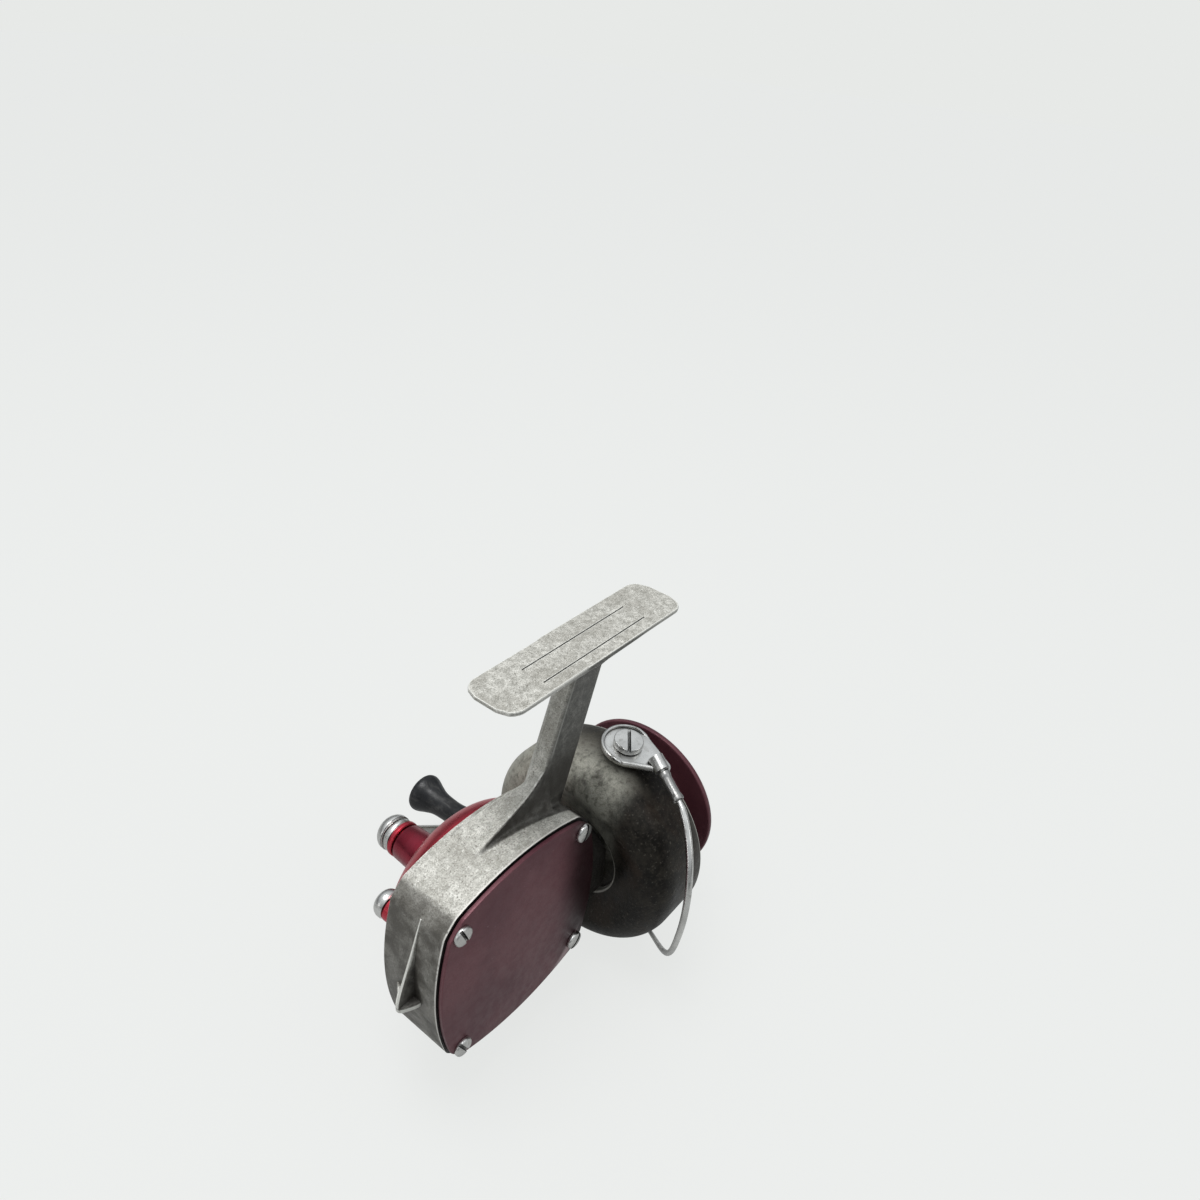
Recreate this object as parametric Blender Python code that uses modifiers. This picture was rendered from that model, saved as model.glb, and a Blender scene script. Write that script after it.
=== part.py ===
"""Spinning fishing reel with a drop foot, modelled as its real pieces.

Frame: +X runs forward along the rod, +Y to the handle side, +Z up to the foot's flat top.
The origin is the middle of the foot's flat top. The bail is open, as the reel is held.
"""

import math

import bmesh
import bpy
from mathutils import Matrix, Vector

MM = 0.001
WELD = 0.002 * MM

# Clearances and cutting overruns
GAP = 0.3 * MM
OVERRUN = 1.0 * MM
SCREW_STEPS = 12
COARSE_STEPS = 16
MIDDLE_STEPS = 22
FINE_STEPS = 32
LARGE_STEPS = 40

# Gearbox place: the spool axis lies this far under the foot, the foot's middle ahead of the crank
SEAT_HEIGHT = 75.7 * MM
FOOT_AHEAD = 29.0 * MM

# Foot
FOOT_LENGTH = 66.0 * MM
FOOT_REAR_WIDTH = 16.0 * MM
FOOT_FRONT_WIDTH = 16.8 * MM
FOOT_CORNER = 4.5 * MM
FOOT_END_THICKNESS = 1.2 * MM
FOOT_ROOT_THICKNESS = 4.0 * MM
FOOT_ROOT_LENGTH = 17.0 * MM

# Stem, a leaning rounded bar
STEM_WIDTH = 6.0 * MM
STEM_TOP_LENGTH = 12.2 * MM
STEM_FOOT_LENGTH = 13.6 * MM
STEM_LEAN = 15.2 * MM
STEM_TOP_AHEAD = 0.9 * MM
STEM_EDGE = 1.4 * MM
STEM_SIDE = -0.5 * MM

# Gusset behind the stem
GUSSET_WIDTH = 5.4 * MM
GUSSET_REACH = 21.5 * MM
GUSSET_RISE = 6.0 * MM
GUSSET_HOLLOW_DEPTH = 2.0 * MM
GUSSET_RIM = 2.0 * MM
GUSSET_LOW_SHARE = 0.45
GUSSET_HIGH_SHARE = 0.75

# Housing casting
HOUSING_CENTRE_X = -1.7 * MM
CRANK_ABOVE_SHAFT = 6.0 * MM
HOUSING_HALF_LENGTH = 24.3 * MM
HOUSING_HALF_HEIGHT = 24.2 * MM
HOUSING_BULGE_X = 4.0 * MM
HOUSING_BULGE_Z = 4.7 * MM
HOUSING_CORNER = 3.0 * MM
HOUSING_WALL = 2.2 * MM
HOUSING_PLATE_FACE = 11.0 * MM
HOUSING_COVER_FACE = 7.0 * MM
HOUSING_COVER_WALL = 2.0 * MM

# Side plate and its four screws
PLATE_THICKNESS = 1.2 * MM
PLATE_INSET = 0.5 * MM
SCREW_INSET_X = 2.9 * MM
SCREW_INSET_Z = 3.3 * MM
SCREW_BOSS = 2.7 * MM
SCREW_SHANK = 1.1 * MM
SCREW_SHANK_LENGTH = 7.0 * MM
SCREW_HEAD = 2.6 * MM
SCREW_HEAD_RISE = 1.3 * MM
SLOT_WIDTH = 0.8 * MM
SLOT_DEPTH_SHARE = 0.5
CROWN_EDGE_SHARE = 0.45
CROWN_SHARES = (0.3, 0.55, 0.8)

# Rear fin and its end shelf
FIN_THICKNESS = 2.2 * MM
FIN_SIDE = -3.0 * MM
FIN_REACH = 5.0 * MM
FIN_HEIGHT = 27.0 * MM
FIN_SHELF_THICKNESS = 2.0 * MM
FIN_SHELF_LOW = 1.6 * MM
FIN_SHELF_WIDTH = 9.6 * MM
FIN_CREST_SHARES = ((1.0, 0.0, 0.0), (0.72, 0.8, 0.0), (0.4, 1.0, 0.8), (0.2, 1.0, 1.0))
FIN_ROOT_SHARE = 0.6

# Handle side cover, a shallow dome with a long bearing boss
COVER_RADIUS = 26.6 * MM
COVER_HEIGHT = 13.9 * MM
COVER_WALL = 2.0 * MM
COVER_FLANGE = 1.7 * MM
SPIGOT_RADIUS = 23.0 * MM
SPIGOT_WALL = 2.0 * MM
SPIGOT_DEPTH = 2.1 * MM
COVER_BOSS_ROOT = 5.8 * MM
COVER_BOSS_TIP = 5.25 * MM
COVER_BOSS_END = 33.0 * MM
COVER_BOSS_START = 18.2 * MM

# Crank shaft, its bush and the ratchet
CRANK_SHAFT = 3.0 * MM
CRANK_STUB = 2.2 * MM
CRANK_SHAFT_START = 5.9 * MM
CRANK_SHAFT_END = 33.3 * MM
CRANK_STUB_END = 40.4 * MM
THRUST_COLLAR = 4.1 * MM
THRUST_COLLAR_START = 11.8 * MM
CRANK_BUSH_WALL = 0.9 * MM
CRANK_BUSH_START = 18.5 * MM
RATCHET_TIP = 9.5 * MM
RATCHET_ROOT = 8.0 * MM
RATCHET_TEETH = 12
RATCHET_START = 9.5 * MM
RATCHET_WIDTH = 2.0 * MM

# Offset bevel pair: both tooth sets shrink toward the point where the shafts' planes cross
GEAR_TEETH = 44
PINION_TEETH = 11
MESH_REACH = 16.2 * MM
MESH_INNER = 14.0 * MM
MESH_OUTER = 18.5 * MM
TOOTH_RISE = 0.55 * MM
TOOTH_DROP = 0.75 * MM
TOOTH_THINNING = 0.15 * MM
PRESSURE_ANGLE = math.radians(25.0)
PINION_FLANK_SHARES = (0.0, 0.35, 0.7, 1.0)
GEAR_DISC_START = 5.6 * MM
GEAR_DISC_END = 8.4 * MM
GEAR_DISC_RADIUS = 19.7 * MM
GEAR_HUB_RADIUS = 5.5 * MM
GEAR_HUB_END = 9.2 * MM
CRANK_PIN_THROW = 6.0 * MM
CRANK_PIN = 1.6 * MM
CRANK_PIN_START = 4.4 * MM
SPOOL_FORWARD = 4.0 * MM

# Handle
COLLAR_START = 33.6 * MM
COLLAR_END = 35.2 * MM
ARM_START = 35.5 * MM
ARM_THICKNESS = 1.6 * MM
ARM_LENGTH = 41.9 * MM
ARM_SLOPE = math.radians(36.5)
ARM_HUB = 5.0 * MM
ARM_TIP = 4.0 * MM
ARM_WAIST = 3.0 * MM
ARM_RISE = 5.75 * MM
ARM_BEND_START = 20.0 * MM
ARM_BEND_END = 31.0 * MM
NUT_RADIUS = 5.2 * MM
NUT_BASE = 1.0 * MM
NUT_HEIGHT = 4.3 * MM
KNOB_LENGTH = 21.25 * MM
KNOB_END = 6.35 * MM
KNOB_WAIST = 3.65 * MM
KNOB_ROOT = 4.3 * MM
KNOB_PIN = 1.8 * MM
KNOB_PIN_HEAD = 3.0 * MM
KNOB_RECESS = 2.4 * MM
KNOB_RIVET = 0.4 * MM
KNOB_FLANK_SHARES = ((0.0, 0.9), (0.05, 1.0), (0.2, 0.3), (0.32, 0.0), (0.59, 0.12))
KNOB_CROWN_SHARES = ((0.755, 0.5), (0.863, 0.88), (0.932, 1.0), (0.98, 0.94), (1.0, 0.8))
NUT_SHARES = (0.0, 0.25, 0.5, 0.75, 1.0)

# Pinion tube and rotor bearings
PINION_TUBE = 3.6 * MM
PINION_BORE = 2.3 * MM
PINION_TUBE_END = 44.0 * MM
PINION_SHOULDER = 5.0 * MM
PINION_SHOULDER_START = 19.2 * MM
PINION_SHOULDER_WIDTH = 1.2 * MM
BEARING_BORE = 5.3 * MM
BEARING_WIDTH = 6.0 * MM
BEARING_START = 20.7 * MM
FRONT_BOSS = 12.5 * MM
FRONT_BOSS_END = 35.0 * MM
INNER_BOSS = 6.8 * MM
INNER_BOSS_START = 20.6 * MM
RETAINER_WIDTH = 0.8 * MM

# Rotor cup
ROTOR_TILT = math.radians(8.0)
ROTOR_REAR = 31.6 * MM
ROTOR_RADIUS = 31.6 * MM
ROTOR_RIM_RADIUS = 31.4 * MM
ROTOR_RIM = 52.4 * MM
ROTOR_SHOULDER = 8.2 * MM
ROTOR_WALL = 2.0 * MM
ROTOR_DISH = 2.9 * MM
ROTOR_RECESS = 13.9 * MM
ROTOR_FLOOR = 36.4 * MM
ROTOR_HUB = 8.0 * MM
ROTOR_HUB_END = 39.2 * MM
EAR_RADIUS = 5.2 * MM
EAR_FACE = 32.6 * MM
EAR_ROOT = 28.8 * MM
ROTOR_NUT = 6.4 * MM
ROTOR_NUT_WIDTH = 3.2 * MM
LOCK_WASHER = 0.6 * MM

# Bail: its pivot crosses the rotor at this distance along the spool axis
PIVOT_FORWARD = 48.0 * MM
BRACKET_THICKNESS = 1.2 * MM
BRACKET_RADIUS = 7.4 * MM
BRACKET_TIP = 2.2 * MM
BRACKET_TIP_SIDE = 11.3 * MM
BRACKET_TIP_FORWARD = 1.6 * MM
BRACKET_SOCKET = 3.5 * MM
BAIL_SCREW_HEAD = 3.9 * MM
BAIL_SCREW_RISE = 1.9 * MM
BAIL_SCREW_SHANK = 1.5 * MM
BAIL_SCREW_SLOT = 1.0 * MM
FAR_ARM_RADIUS = 5.6 * MM
FAR_ARM_TIP = 2.4 * MM
WIRE_HALF_SPAN = 35.3 * MM
WIRE_REACH = 37.4 * MM
WIRE_SQUARENESS = 2.42
WIRE_SWEEP = 20.0 * MM
WIRE_SKEW = 3.8 * MM
WIRE_FORWARD = 4.5 * MM
WIRE_TWIST = math.radians(-1.7)
WIRE_RADIUS = 1.1 * MM
WIRE_PIN = 0.8 * MM
WIRE_PIN_START = math.radians(76.0)
WIRE_START = math.radians(59.0)
WIRE_END = math.radians(-83.0)
WIRE_POINTS = 26
WIRE_TAPER_SHARE = 0.04
ROLLER_RADIUS = 1.7 * MM
ROLLER_WAIST = 1.45 * MM
ROLLER_LENGTH = 8.6 * MM
ROLLER_LIP = 1.0 * MM
SPRING_RADIUS = 2.7 * MM
SPRING_WIRE = 0.25 * MM
SPRING_TURNS = 2
SPRING_LENGTH = 2.1 * MM

# Main shaft and crosshead
MAIN_SHAFT = 2.0 * MM
SHAFT_REAR = -16.5 * MM
SHAFT_FRONT = 79.0 * MM
SHAFT_GUIDE = 3.6 * MM
SHAFT_GUIDE_START = -27.8 * MM
SHAFT_GUIDE_END = -11.5 * MM
SHAFT_GUIDE_FLOOR = -27.2 * MM
CROSSHEAD_HALF_WIDTH = 3.6 * MM
CROSSHEAD_LOW = -5.0 * MM
CROSSHEAD_HIGH = 15.6 * MM
CROSSHEAD_BACK = 1.4 * MM
CROSSHEAD_FACE = 4.0 * MM
CROSSHEAD_SLOT_LOW = -1.9 * MM
CROSSHEAD_SLOT_HIGH = 13.9 * MM
CROSSHEAD_CLAMP = 3.9 * MM
CROSSHEAD_SCREW = 1.0 * MM
CROSSHEAD_SCREW_HEAD = 1.9 * MM
CROSSHEAD_SCREW_LENGTH = 3.0 * MM

# Spool and drag
SPOOL_REAR = 50.0 * MM
SPOOL_REAR_FLANGE = 24.5 * MM
SPOOL_FLANGE_WIDTH = 2.6 * MM
SPOOL_FRONT_FLANGE = 25.2 * MM
SPOOL_FRONT = 68.0 * MM
SPOOL_FRONT_WIDTH = 2.0 * MM
SPOOL_ARBOR = 17.0 * MM
SPOOL_CAVITY = 14.5 * MM
SPOOL_WEB_REAR = 61.4 * MM
SPOOL_WEB_FRONT = 64.0 * MM
DRAG_RECESS = 10.0 * MM
WASHER_RADIUS = 9.6 * MM
WASHER_WIDTH = 0.8 * MM
DRAG_SPRING_RADIUS = 5.0 * MM
DRAG_SPRING_WIRE = 0.45 * MM
DRAG_SPRING_TURNS = 2
DRAG_KNOB = 9.6 * MM
DRAG_KNOB_START = 69.2 * MM
DRAG_KNOB_END = 80.5 * MM
DRAG_KNOB_LOBES = 12
DRAG_KNOB_GRIP_DEPTH = 0.8 * MM
DRAG_KNOB_CAVITY = 7.0 * MM
DRAG_KNOB_FLOOR = 73.5 * MM
CLICK_GEAR_TIP = 6.2 * MM
CLICK_GEAR_ROOT = 5.3 * MM
CLICK_TEETH = 24
CLICK_GEAR_START = 58.6 * MM
CLICK_GEAR_WIDTH = 1.4 * MM
CLICK_PAWL_PIVOT = 10.6 * MM
CLICK_PAWL_HUB = 1.7 * MM
CLICK_PAWL_LENGTH = 4.0 * MM
CLICK_POST = 0.9 * MM

# Anti-reverse switch
SWITCH_BACK = 18.5 * MM
SWITCH_ABOVE_CRANK = 2.0 * MM
SWITCH_SHAFT = 1.4 * MM
SWITCH_HEAD = 3.7 * MM
SWITCH_HEAD_START = 19.3 * MM
SWITCH_HEAD_RISE = 2.5 * MM
SWITCH_SEAT = 4.0 * MM
SWITCH_SEAT_FACE = 19.0 * MM
PAWL_HUB = 2.4 * MM
PAWL_REACH = 9.0 * MM
PAWL_TIP = 0.6 * MM
PAWL_THICKNESS = 1.8 * MM
PAWL_REST = math.radians(34.0)
SWITCH_CROWN_SHARES = (0.0, 0.25, 0.5, 0.75, 1.0)
SWITCH_CROWN = 1.5 * MM
SWITCH_EDGE = 0.4 * MM
RATCHET_LEAN_SHARE = 0.12

# Unit directions
ALONG_X = (0.0, math.pi / 2, 0.0)
ALONG_Y = (-math.pi / 2, 0.0, 0.0)
ALONG_Z = (0.0, 0.0, 0.0)
FACING_PLATE_SIDE = (math.pi / 2, 0.0, 0.0)


def clear_scene():
    for thing in list(bpy.data.objects):
        bpy.data.objects.remove(thing, do_unlink=True)


def collection(name):
    made = bpy.data.collections.new(name)
    bpy.context.scene.collection.children.link(made)
    return made


def finish(name, colour, roughness, metallic):
    made = bpy.data.materials.new(name)
    made.use_nodes = True
    shader = made.node_tree.nodes["Principled BSDF"]
    shader.inputs["Base Color"].default_value = (*colour, 1.0)
    shader.inputs["Roughness"].default_value = roughness
    shader.inputs["Metallic"].default_value = metallic
    return made


def axis_frame(name, place, parent=None, turn=ALONG_Z):
    """An empty on a joint's axis, which the pieces that move together hang on."""
    frame = bpy.data.objects.new(name, None)
    frame.location = place
    frame.rotation_euler = turn
    frame.parent = parent
    bpy.context.scene.collection.objects.link(frame)
    return frame


def arc(centre, radius, start, end, count):
    """Points on a circle from the start angle to the end angle."""
    step = (end - start) / count
    angles = [start + step * index for index in range(count + 1)]
    return [(centre[0] + radius * math.cos(a), centre[1] + radius * math.sin(a)) for a in angles]


def rounded(corners, radius, count=4):
    """A closed outline with each corner replaced by a small curve tangent to both sides."""
    points = []
    for index, corner in enumerate(corners):
        here = Vector(corner)
        before = Vector(corners[index - 1])
        after = Vector(corners[(index + 1) % len(corners)])
        back = (before - here).normalized() * min(radius, (before - here).length / 2)
        ahead = (after - here).normalized() * min(radius, (after - here).length / 2)
        for step in range(count + 1):
            share = step / count
            bend = here + back * (1 - share) ** 2 + ahead * share**2
            points.append((bend.x, bend.y))
    return points


def bulged_box(half_x, half_z, bulge_x, bulge_z, radius, centre, count=8):
    """A rounded square whose four sides bow outward."""
    points = []
    sides = (
        ((1, -1), (1, 1), (bulge_x, 0.0)),
        ((1, 1), (-1, 1), (0.0, bulge_z)),
        ((-1, 1), (-1, -1), (-bulge_x, 0.0)),
        ((-1, -1), (1, -1), (0.0, -bulge_z)),
    )
    corner_share = radius / (2 * half_x)
    for start, end, bow in sides:
        for step in range(count + 1):
            share = corner_share + (1 - 2 * corner_share) * step / count
            swell = 4 * share * (1 - share)
            x = half_x * (start[0] + (end[0] - start[0]) * share) + bow[0] * swell
            z = half_z * (start[1] + (end[1] - start[1]) * share) + bow[1] * swell
            points.append((centre[0] + x, centre[1] + z))
    return points


def link_outline(first, first_radius, second, second_radius, count=12):
    """The belt-shaped outline around two circles."""
    first = Vector(first)
    second = Vector(second)
    across = second - first
    heading = math.atan2(across.y, across.x)
    spread = math.acos((first_radius - second_radius) / across.length)
    around_first = arc(first, first_radius, heading + spread, heading + 2 * math.pi - spread, count)
    around_second = arc(second, second_radius, heading - spread, heading + spread, count)
    return around_first + around_second


def into(where, thing, parent, place, turn):
    where.objects.link(thing)
    thing.parent = parent
    thing.location = place
    thing.rotation_euler = turn
    return thing


def mesh_object(name, mesh, look):
    mesh.materials.clear()
    mesh.materials.append(look)
    return bpy.data.objects.new(name, mesh)


def plate(name, look, outlines, thickness, parent, place=(0, 0, 0), turn=ALONG_Z, where=None):
    """A flat outline, with any holes as further outlines, filled and given its thickness."""
    curve = bpy.data.curves.new(name, "CURVE")
    curve.dimensions = "2D"
    curve.fill_mode = "BOTH"
    curve.extrude = thickness / 2
    for outline in outlines:
        spline = curve.splines.new("POLY")
        spline.points.add(len(outline) - 1)
        for point, spot in zip(spline.points, outline):
            point.co = (spot[0], spot[1], 0.0, 1.0)
        spline.use_cyclic_u = True
    guide = bpy.data.objects.new(name, curve)
    bpy.context.scene.collection.objects.link(guide)
    graph = bpy.context.evaluated_depsgraph_get()
    mesh = bpy.data.meshes.new_from_object(guide.evaluated_get(graph))
    bpy.data.objects.remove(guide, do_unlink=True)
    shell = bmesh.new()
    shell.from_mesh(mesh)
    bmesh.ops.remove_doubles(shell, verts=shell.verts, dist=WELD)
    shell.to_mesh(mesh)
    shell.free()
    thing = mesh_object(name, mesh, look)
    return into(where or PARTS, thing, parent, place, turn)


def turned(name, look, profile, parent, place=(0, 0, 0), turn=ALONG_Z, steps=FINE_STEPS, where=None):
    """A profile of (radius, height) points swept round the local Z axis."""
    ring = all(radius > 0 for radius, _ in profile)
    pairs = list(zip(profile, profile[1:] + profile[:1]))
    signed_area = sum(a[0] * b[1] - b[0] * a[1] for a, b in pairs)
    points = profile[::-1] if signed_area > 0 else profile
    edges = [(index, index + 1) for index in range(len(points) - 1)]
    if ring:
        edges.append((len(points) - 1, 0))
    mesh = bpy.data.meshes.new(name)
    mesh.from_pydata([(radius, 0.0, height) for radius, height in points], edges, [])
    thing = mesh_object(name, mesh, look)
    sweep = thing.modifiers.new("Turn", "SCREW")
    sweep.axis = "Z"
    sweep.steps = steps
    sweep.render_steps = steps
    sweep.use_merge_vertices = True
    sweep.merge_threshold = WELD
    sweep.use_smooth_shade = False
    return into(where or PARTS, thing, parent, place, turn)


def solid_profile(radius, low, high, bevel=0.0):
    """The half outline of a plain shaft, its ends chamfered by the bevel."""
    if not bevel:
        return [(0.0, high), (radius, high), (radius, low), (0.0, low)]
    inner = radius - bevel
    ends = [(radius, high - bevel), (radius, low + bevel)]
    return [(0.0, high), (inner, high)] + ends + [(inner, low), (0.0, low)]


def tube_profile(outer, inner, low, high):
    return [(outer, high), (outer, low), (inner, low), (inner, high)]


def shape(operation, thing, tools):
    """Adds, cuts or keeps the overlap of a solid with others, which then only serve as tools."""
    for tool in tools:
        change = thing.modifiers.new(operation.title(), "BOOLEAN")
        change.operation = operation
        change.solver = "EXACT"
        change.object = tool
        for holder in list(tool.users_collection):
            holder.objects.unlink(tool)
        CUTTERS.objects.link(tool)
        tool.hide_render = True
        tool.display_type = "WIRE"
    return thing


def join(thing, *tools):
    return shape("UNION", thing, tools)


def cut(thing, *tools):
    return shape("DIFFERENCE", thing, tools)


def keep_inside(thing, *tools):
    return shape("INTERSECT", thing, tools)


def block(name, look, low, high, parent, place=(0, 0, 0), turn=ALONG_Z, where=None):
    """A box between two opposite corners."""
    mesh = bpy.data.meshes.new(name)
    cage = bmesh.new()
    bmesh.ops.create_cube(cage, size=1.0)
    low = Vector(low)
    high = Vector(high)
    bmesh.ops.scale(cage, vec=high - low, verts=cage.verts)
    bmesh.ops.translate(cage, vec=(low + high) / 2, verts=cage.verts)
    cage.to_mesh(mesh)
    cage.free()
    return into(where or PARTS, mesh_object(name, mesh, look), parent, place, turn)


def tapering_prism(name, look, section, near, far, apex, parent, where=None):
    """A cross-section at the near distance from the apex, drawn out along Z to the far one in proportion."""
    mesh = bpy.data.meshes.new(name)
    cage = bmesh.new()
    base = Vector((apex[0], apex[1], near))
    corners = [cage.verts.new(base + Vector((x, y, 0.0))) for x, y in section]
    face = cage.faces.new(corners)
    grown = bmesh.ops.extrude_face_region(cage, geom=[face])
    moved = [item for item in grown["geom"] if isinstance(item, bmesh.types.BMVert)]
    centre = Matrix.Translation((-apex[0], -apex[1], 0.0))
    bmesh.ops.scale(cage, vec=(far / near,) * 3, space=centre, verts=moved)
    bmesh.ops.recalc_face_normals(cage, faces=cage.faces)
    cage.to_mesh(mesh)
    cage.free()
    return into(where or PARTS, mesh_object(name, mesh, look), parent, (0, 0, 0), ALONG_Z)


def round_wire(name, look, path, radii, parent, sides=2, cyclic=False):
    """A round wire through the path's points, with a radius at each."""
    curve = bpy.data.curves.new(name, "CURVE")
    curve.dimensions = "3D"
    curve.bevel_depth = 1.0
    curve.bevel_resolution = sides
    curve.use_fill_caps = True
    spline = curve.splines.new("POLY")
    spline.points.add(len(path) - 1)
    for point, spot, radius in zip(spline.points, path, radii):
        point.co = (*spot, 1.0)
        point.radius = radius
    spline.use_cyclic_u = cyclic
    curve.materials.append(look)
    return into(PARTS, bpy.data.objects.new(name, curve), parent, (0, 0, 0), ALONG_Z)


def slotted_screw(name, look, head, rise, shank, length, slot, crown, parent, place, turn):
    """A screw whose head rests at height zero, its shank pointing down local Z."""
    top = rise * CROWN_EDGE_SHARE if crown else rise
    head_side = [(head, top), (head, 0.0), (shank, 0.0), (shank, -length), (0.0, -length)]
    dome = [
        (head * math.sin(share * math.pi / 2), top + (rise - top) * math.cos(share * math.pi / 2))
        for share in CROWN_SHARES
    ]
    chamfer = SLOT_WIDTH / 2
    if not crown:
        dome = [(head - chamfer, rise)]
        head_side[0] = (head, rise - chamfer)
    screw = turned(name, look, [(0.0, rise)] + dome + head_side, parent, place, turn, SCREW_STEPS)
    blade_depth = rise * SLOT_DEPTH_SHARE
    blade = block(
        name + "_slot",
        look,
        (-slot / 2, -head - OVERRUN, rise - blade_depth),
        (slot / 2, head + OVERRUN, rise + OVERRUN),
        parent,
        place,
        turn,
    )
    return cut(screw, blade)


def lobed(tip, root, count, lean=0.5):
    """A ring of pointed teeth, as (x, y) points; lean 0.5 makes them even."""
    points = []
    for index in range(count):
        start = 2 * math.pi * index / count
        peak = start + 2 * math.pi * lean / count
        points.append((root * math.cos(start), root * math.sin(start)))
        points.append((tip * math.cos(peak), tip * math.sin(peak)))
    return points


def housing_outline(inset):
    half = (HOUSING_HALF_LENGTH - inset, HOUSING_HALF_HEIGHT - inset)
    centre = (HOUSING_CENTRE_X, CRANK_ABOVE_SHAFT)
    return bulged_box(*half, HOUSING_BULGE_X, HOUSING_BULGE_Z, HOUSING_CORNER, centre)


def screw_places():
    for across in (-1, 1):
        for up in (-1, 1):
            x = HOUSING_CENTRE_X + across * (HOUSING_HALF_LENGTH - SCREW_INSET_X)
            yield x, CRANK_ABOVE_SHAFT + up * (HOUSING_HALF_HEIGHT - SCREW_INSET_Z)


def stem_line(height, edge):
    """The stem's rear (edge 0) or front (edge 1) at a height above the spool axis."""
    top = SEAT_HEIGHT - FOOT_ROOT_THICKNESS
    share = (top - height) / (top - (HOUSING_HALF_HEIGHT + CRANK_ABOVE_SHAFT))
    rear_top = FOOT_AHEAD - STEM_TOP_LENGTH / 2 + STEM_TOP_AHEAD
    length = STEM_TOP_LENGTH + (STEM_FOOT_LENGTH - STEM_TOP_LENGTH) * share
    return rear_top - STEM_LEAN * share + length * edge


def foot_block():
    """The foot: a side view, thickest over the stem, kept inside its rounded plan."""
    rear = FOOT_AHEAD - FOOT_LENGTH / 2
    front = FOOT_AHEAD + FOOT_LENGTH / 2
    edge = SEAT_HEIGHT - FOOT_END_THICKNESS
    root = SEAT_HEIGHT - FOOT_ROOT_THICKNESS
    half_root = FOOT_ROOT_LENGTH / 2
    side = [
        (rear, SEAT_HEIGHT),
        (rear, edge),
        (FOOT_AHEAD - half_root * 2, edge - FOOT_END_THICKNESS / 2),
        (FOOT_AHEAD - half_root, root),
        (FOOT_AHEAD + half_root, root),
        (FOOT_AHEAD + half_root * 2, edge - FOOT_END_THICKNESS / 2),
        (front, edge),
        (front, SEAT_HEIGHT),
    ]
    half_rear = FOOT_REAR_WIDTH / 2
    half_front = FOOT_FRONT_WIDTH / 2
    plan = [(rear, -half_rear), (front, -half_front), (front, half_front), (rear, half_rear)]
    foot = plate("foot", CASTING, [side], FOOT_FRONT_WIDTH * 2, GEARBOX, turn=FACING_PLATE_SIDE)
    level = (0, 0, SEAT_HEIGHT)
    trim = plate("foot_plan", CASTING, [rounded(plan, FOOT_CORNER)], SEAT_HEIGHT, GEARBOX, level)
    return keep_inside(foot, trim)


def stem_bar():
    top = SEAT_HEIGHT - FOOT_END_THICKNESS
    bottom = CRANK_ABOVE_SHAFT + HOUSING_HALF_HEIGHT - HOUSING_WALL
    count = 8
    heights = [top + (bottom - top) * index / count for index in range(count + 1)]
    rear = [(stem_line(height, 0), height) for height in heights]
    front = [(stem_line(height, 1), height) for height in reversed(heights)]
    bar = plate("stem", CASTING, [rear + front], STEM_WIDTH, GEARBOX, (0, STEM_SIDE, 0), FACING_PLATE_SIDE)
    edge = bar.modifiers.new("Rounding", "BEVEL")
    edge.width = STEM_EDGE
    edge.segments = 2
    edge.limit_method = "ANGLE"
    return bar


def gusset_web():
    """The web that carries the stem back along the housing's top, hollowed on the plate side."""
    base = CRANK_ABOVE_SHAFT + HOUSING_HALF_HEIGHT - HOUSING_WALL - GAP
    crest = base + HOUSING_WALL + GUSSET_RISE
    low = base + HOUSING_WALL * 2
    top = crest + GUSSET_RIM * 2
    shoulder = stem_line(crest, 0)
    start = shoulder - GUSSET_REACH
    outline = [
        (start, base),
        (start, low),
        (start + GUSSET_REACH * GUSSET_LOW_SHARE, low + HOUSING_WALL / 2),
        (start + GUSSET_REACH * GUSSET_HIGH_SHARE, crest - GUSSET_RIM / 3),
        (shoulder, top),
        (shoulder + STEM_WIDTH / 2, top),
        (shoulder + STEM_WIDTH / 2, base),
    ]
    side = (0, GUSSET_WIDTH / 2 + STEM_SIDE - STEM_WIDTH / 2, 0)
    web = plate("gusset", CASTING, [outline], GUSSET_WIDTH, GEARBOX, side, FACING_PLATE_SIDE)
    hollow = [
        (start + GUSSET_REACH * GUSSET_LOW_SHARE - GUSSET_RIM / 2, low),
        (start + GUSSET_REACH * GUSSET_HIGH_SHARE, crest - GUSSET_RIM),
        (shoulder - GUSSET_RIM / 2, crest - GUSSET_RIM / 2),
        (shoulder - GUSSET_RIM / 2, low),
    ]
    hollow_side = (0, side[1] - GUSSET_WIDTH / 2, 0)
    depth = GUSSET_HOLLOW_DEPTH * 2
    pocket = plate("gusset_hollow", CASTING, [hollow], depth, GEARBOX, hollow_side, FACING_PLATE_SIDE)
    return cut(web, pocket)


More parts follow.
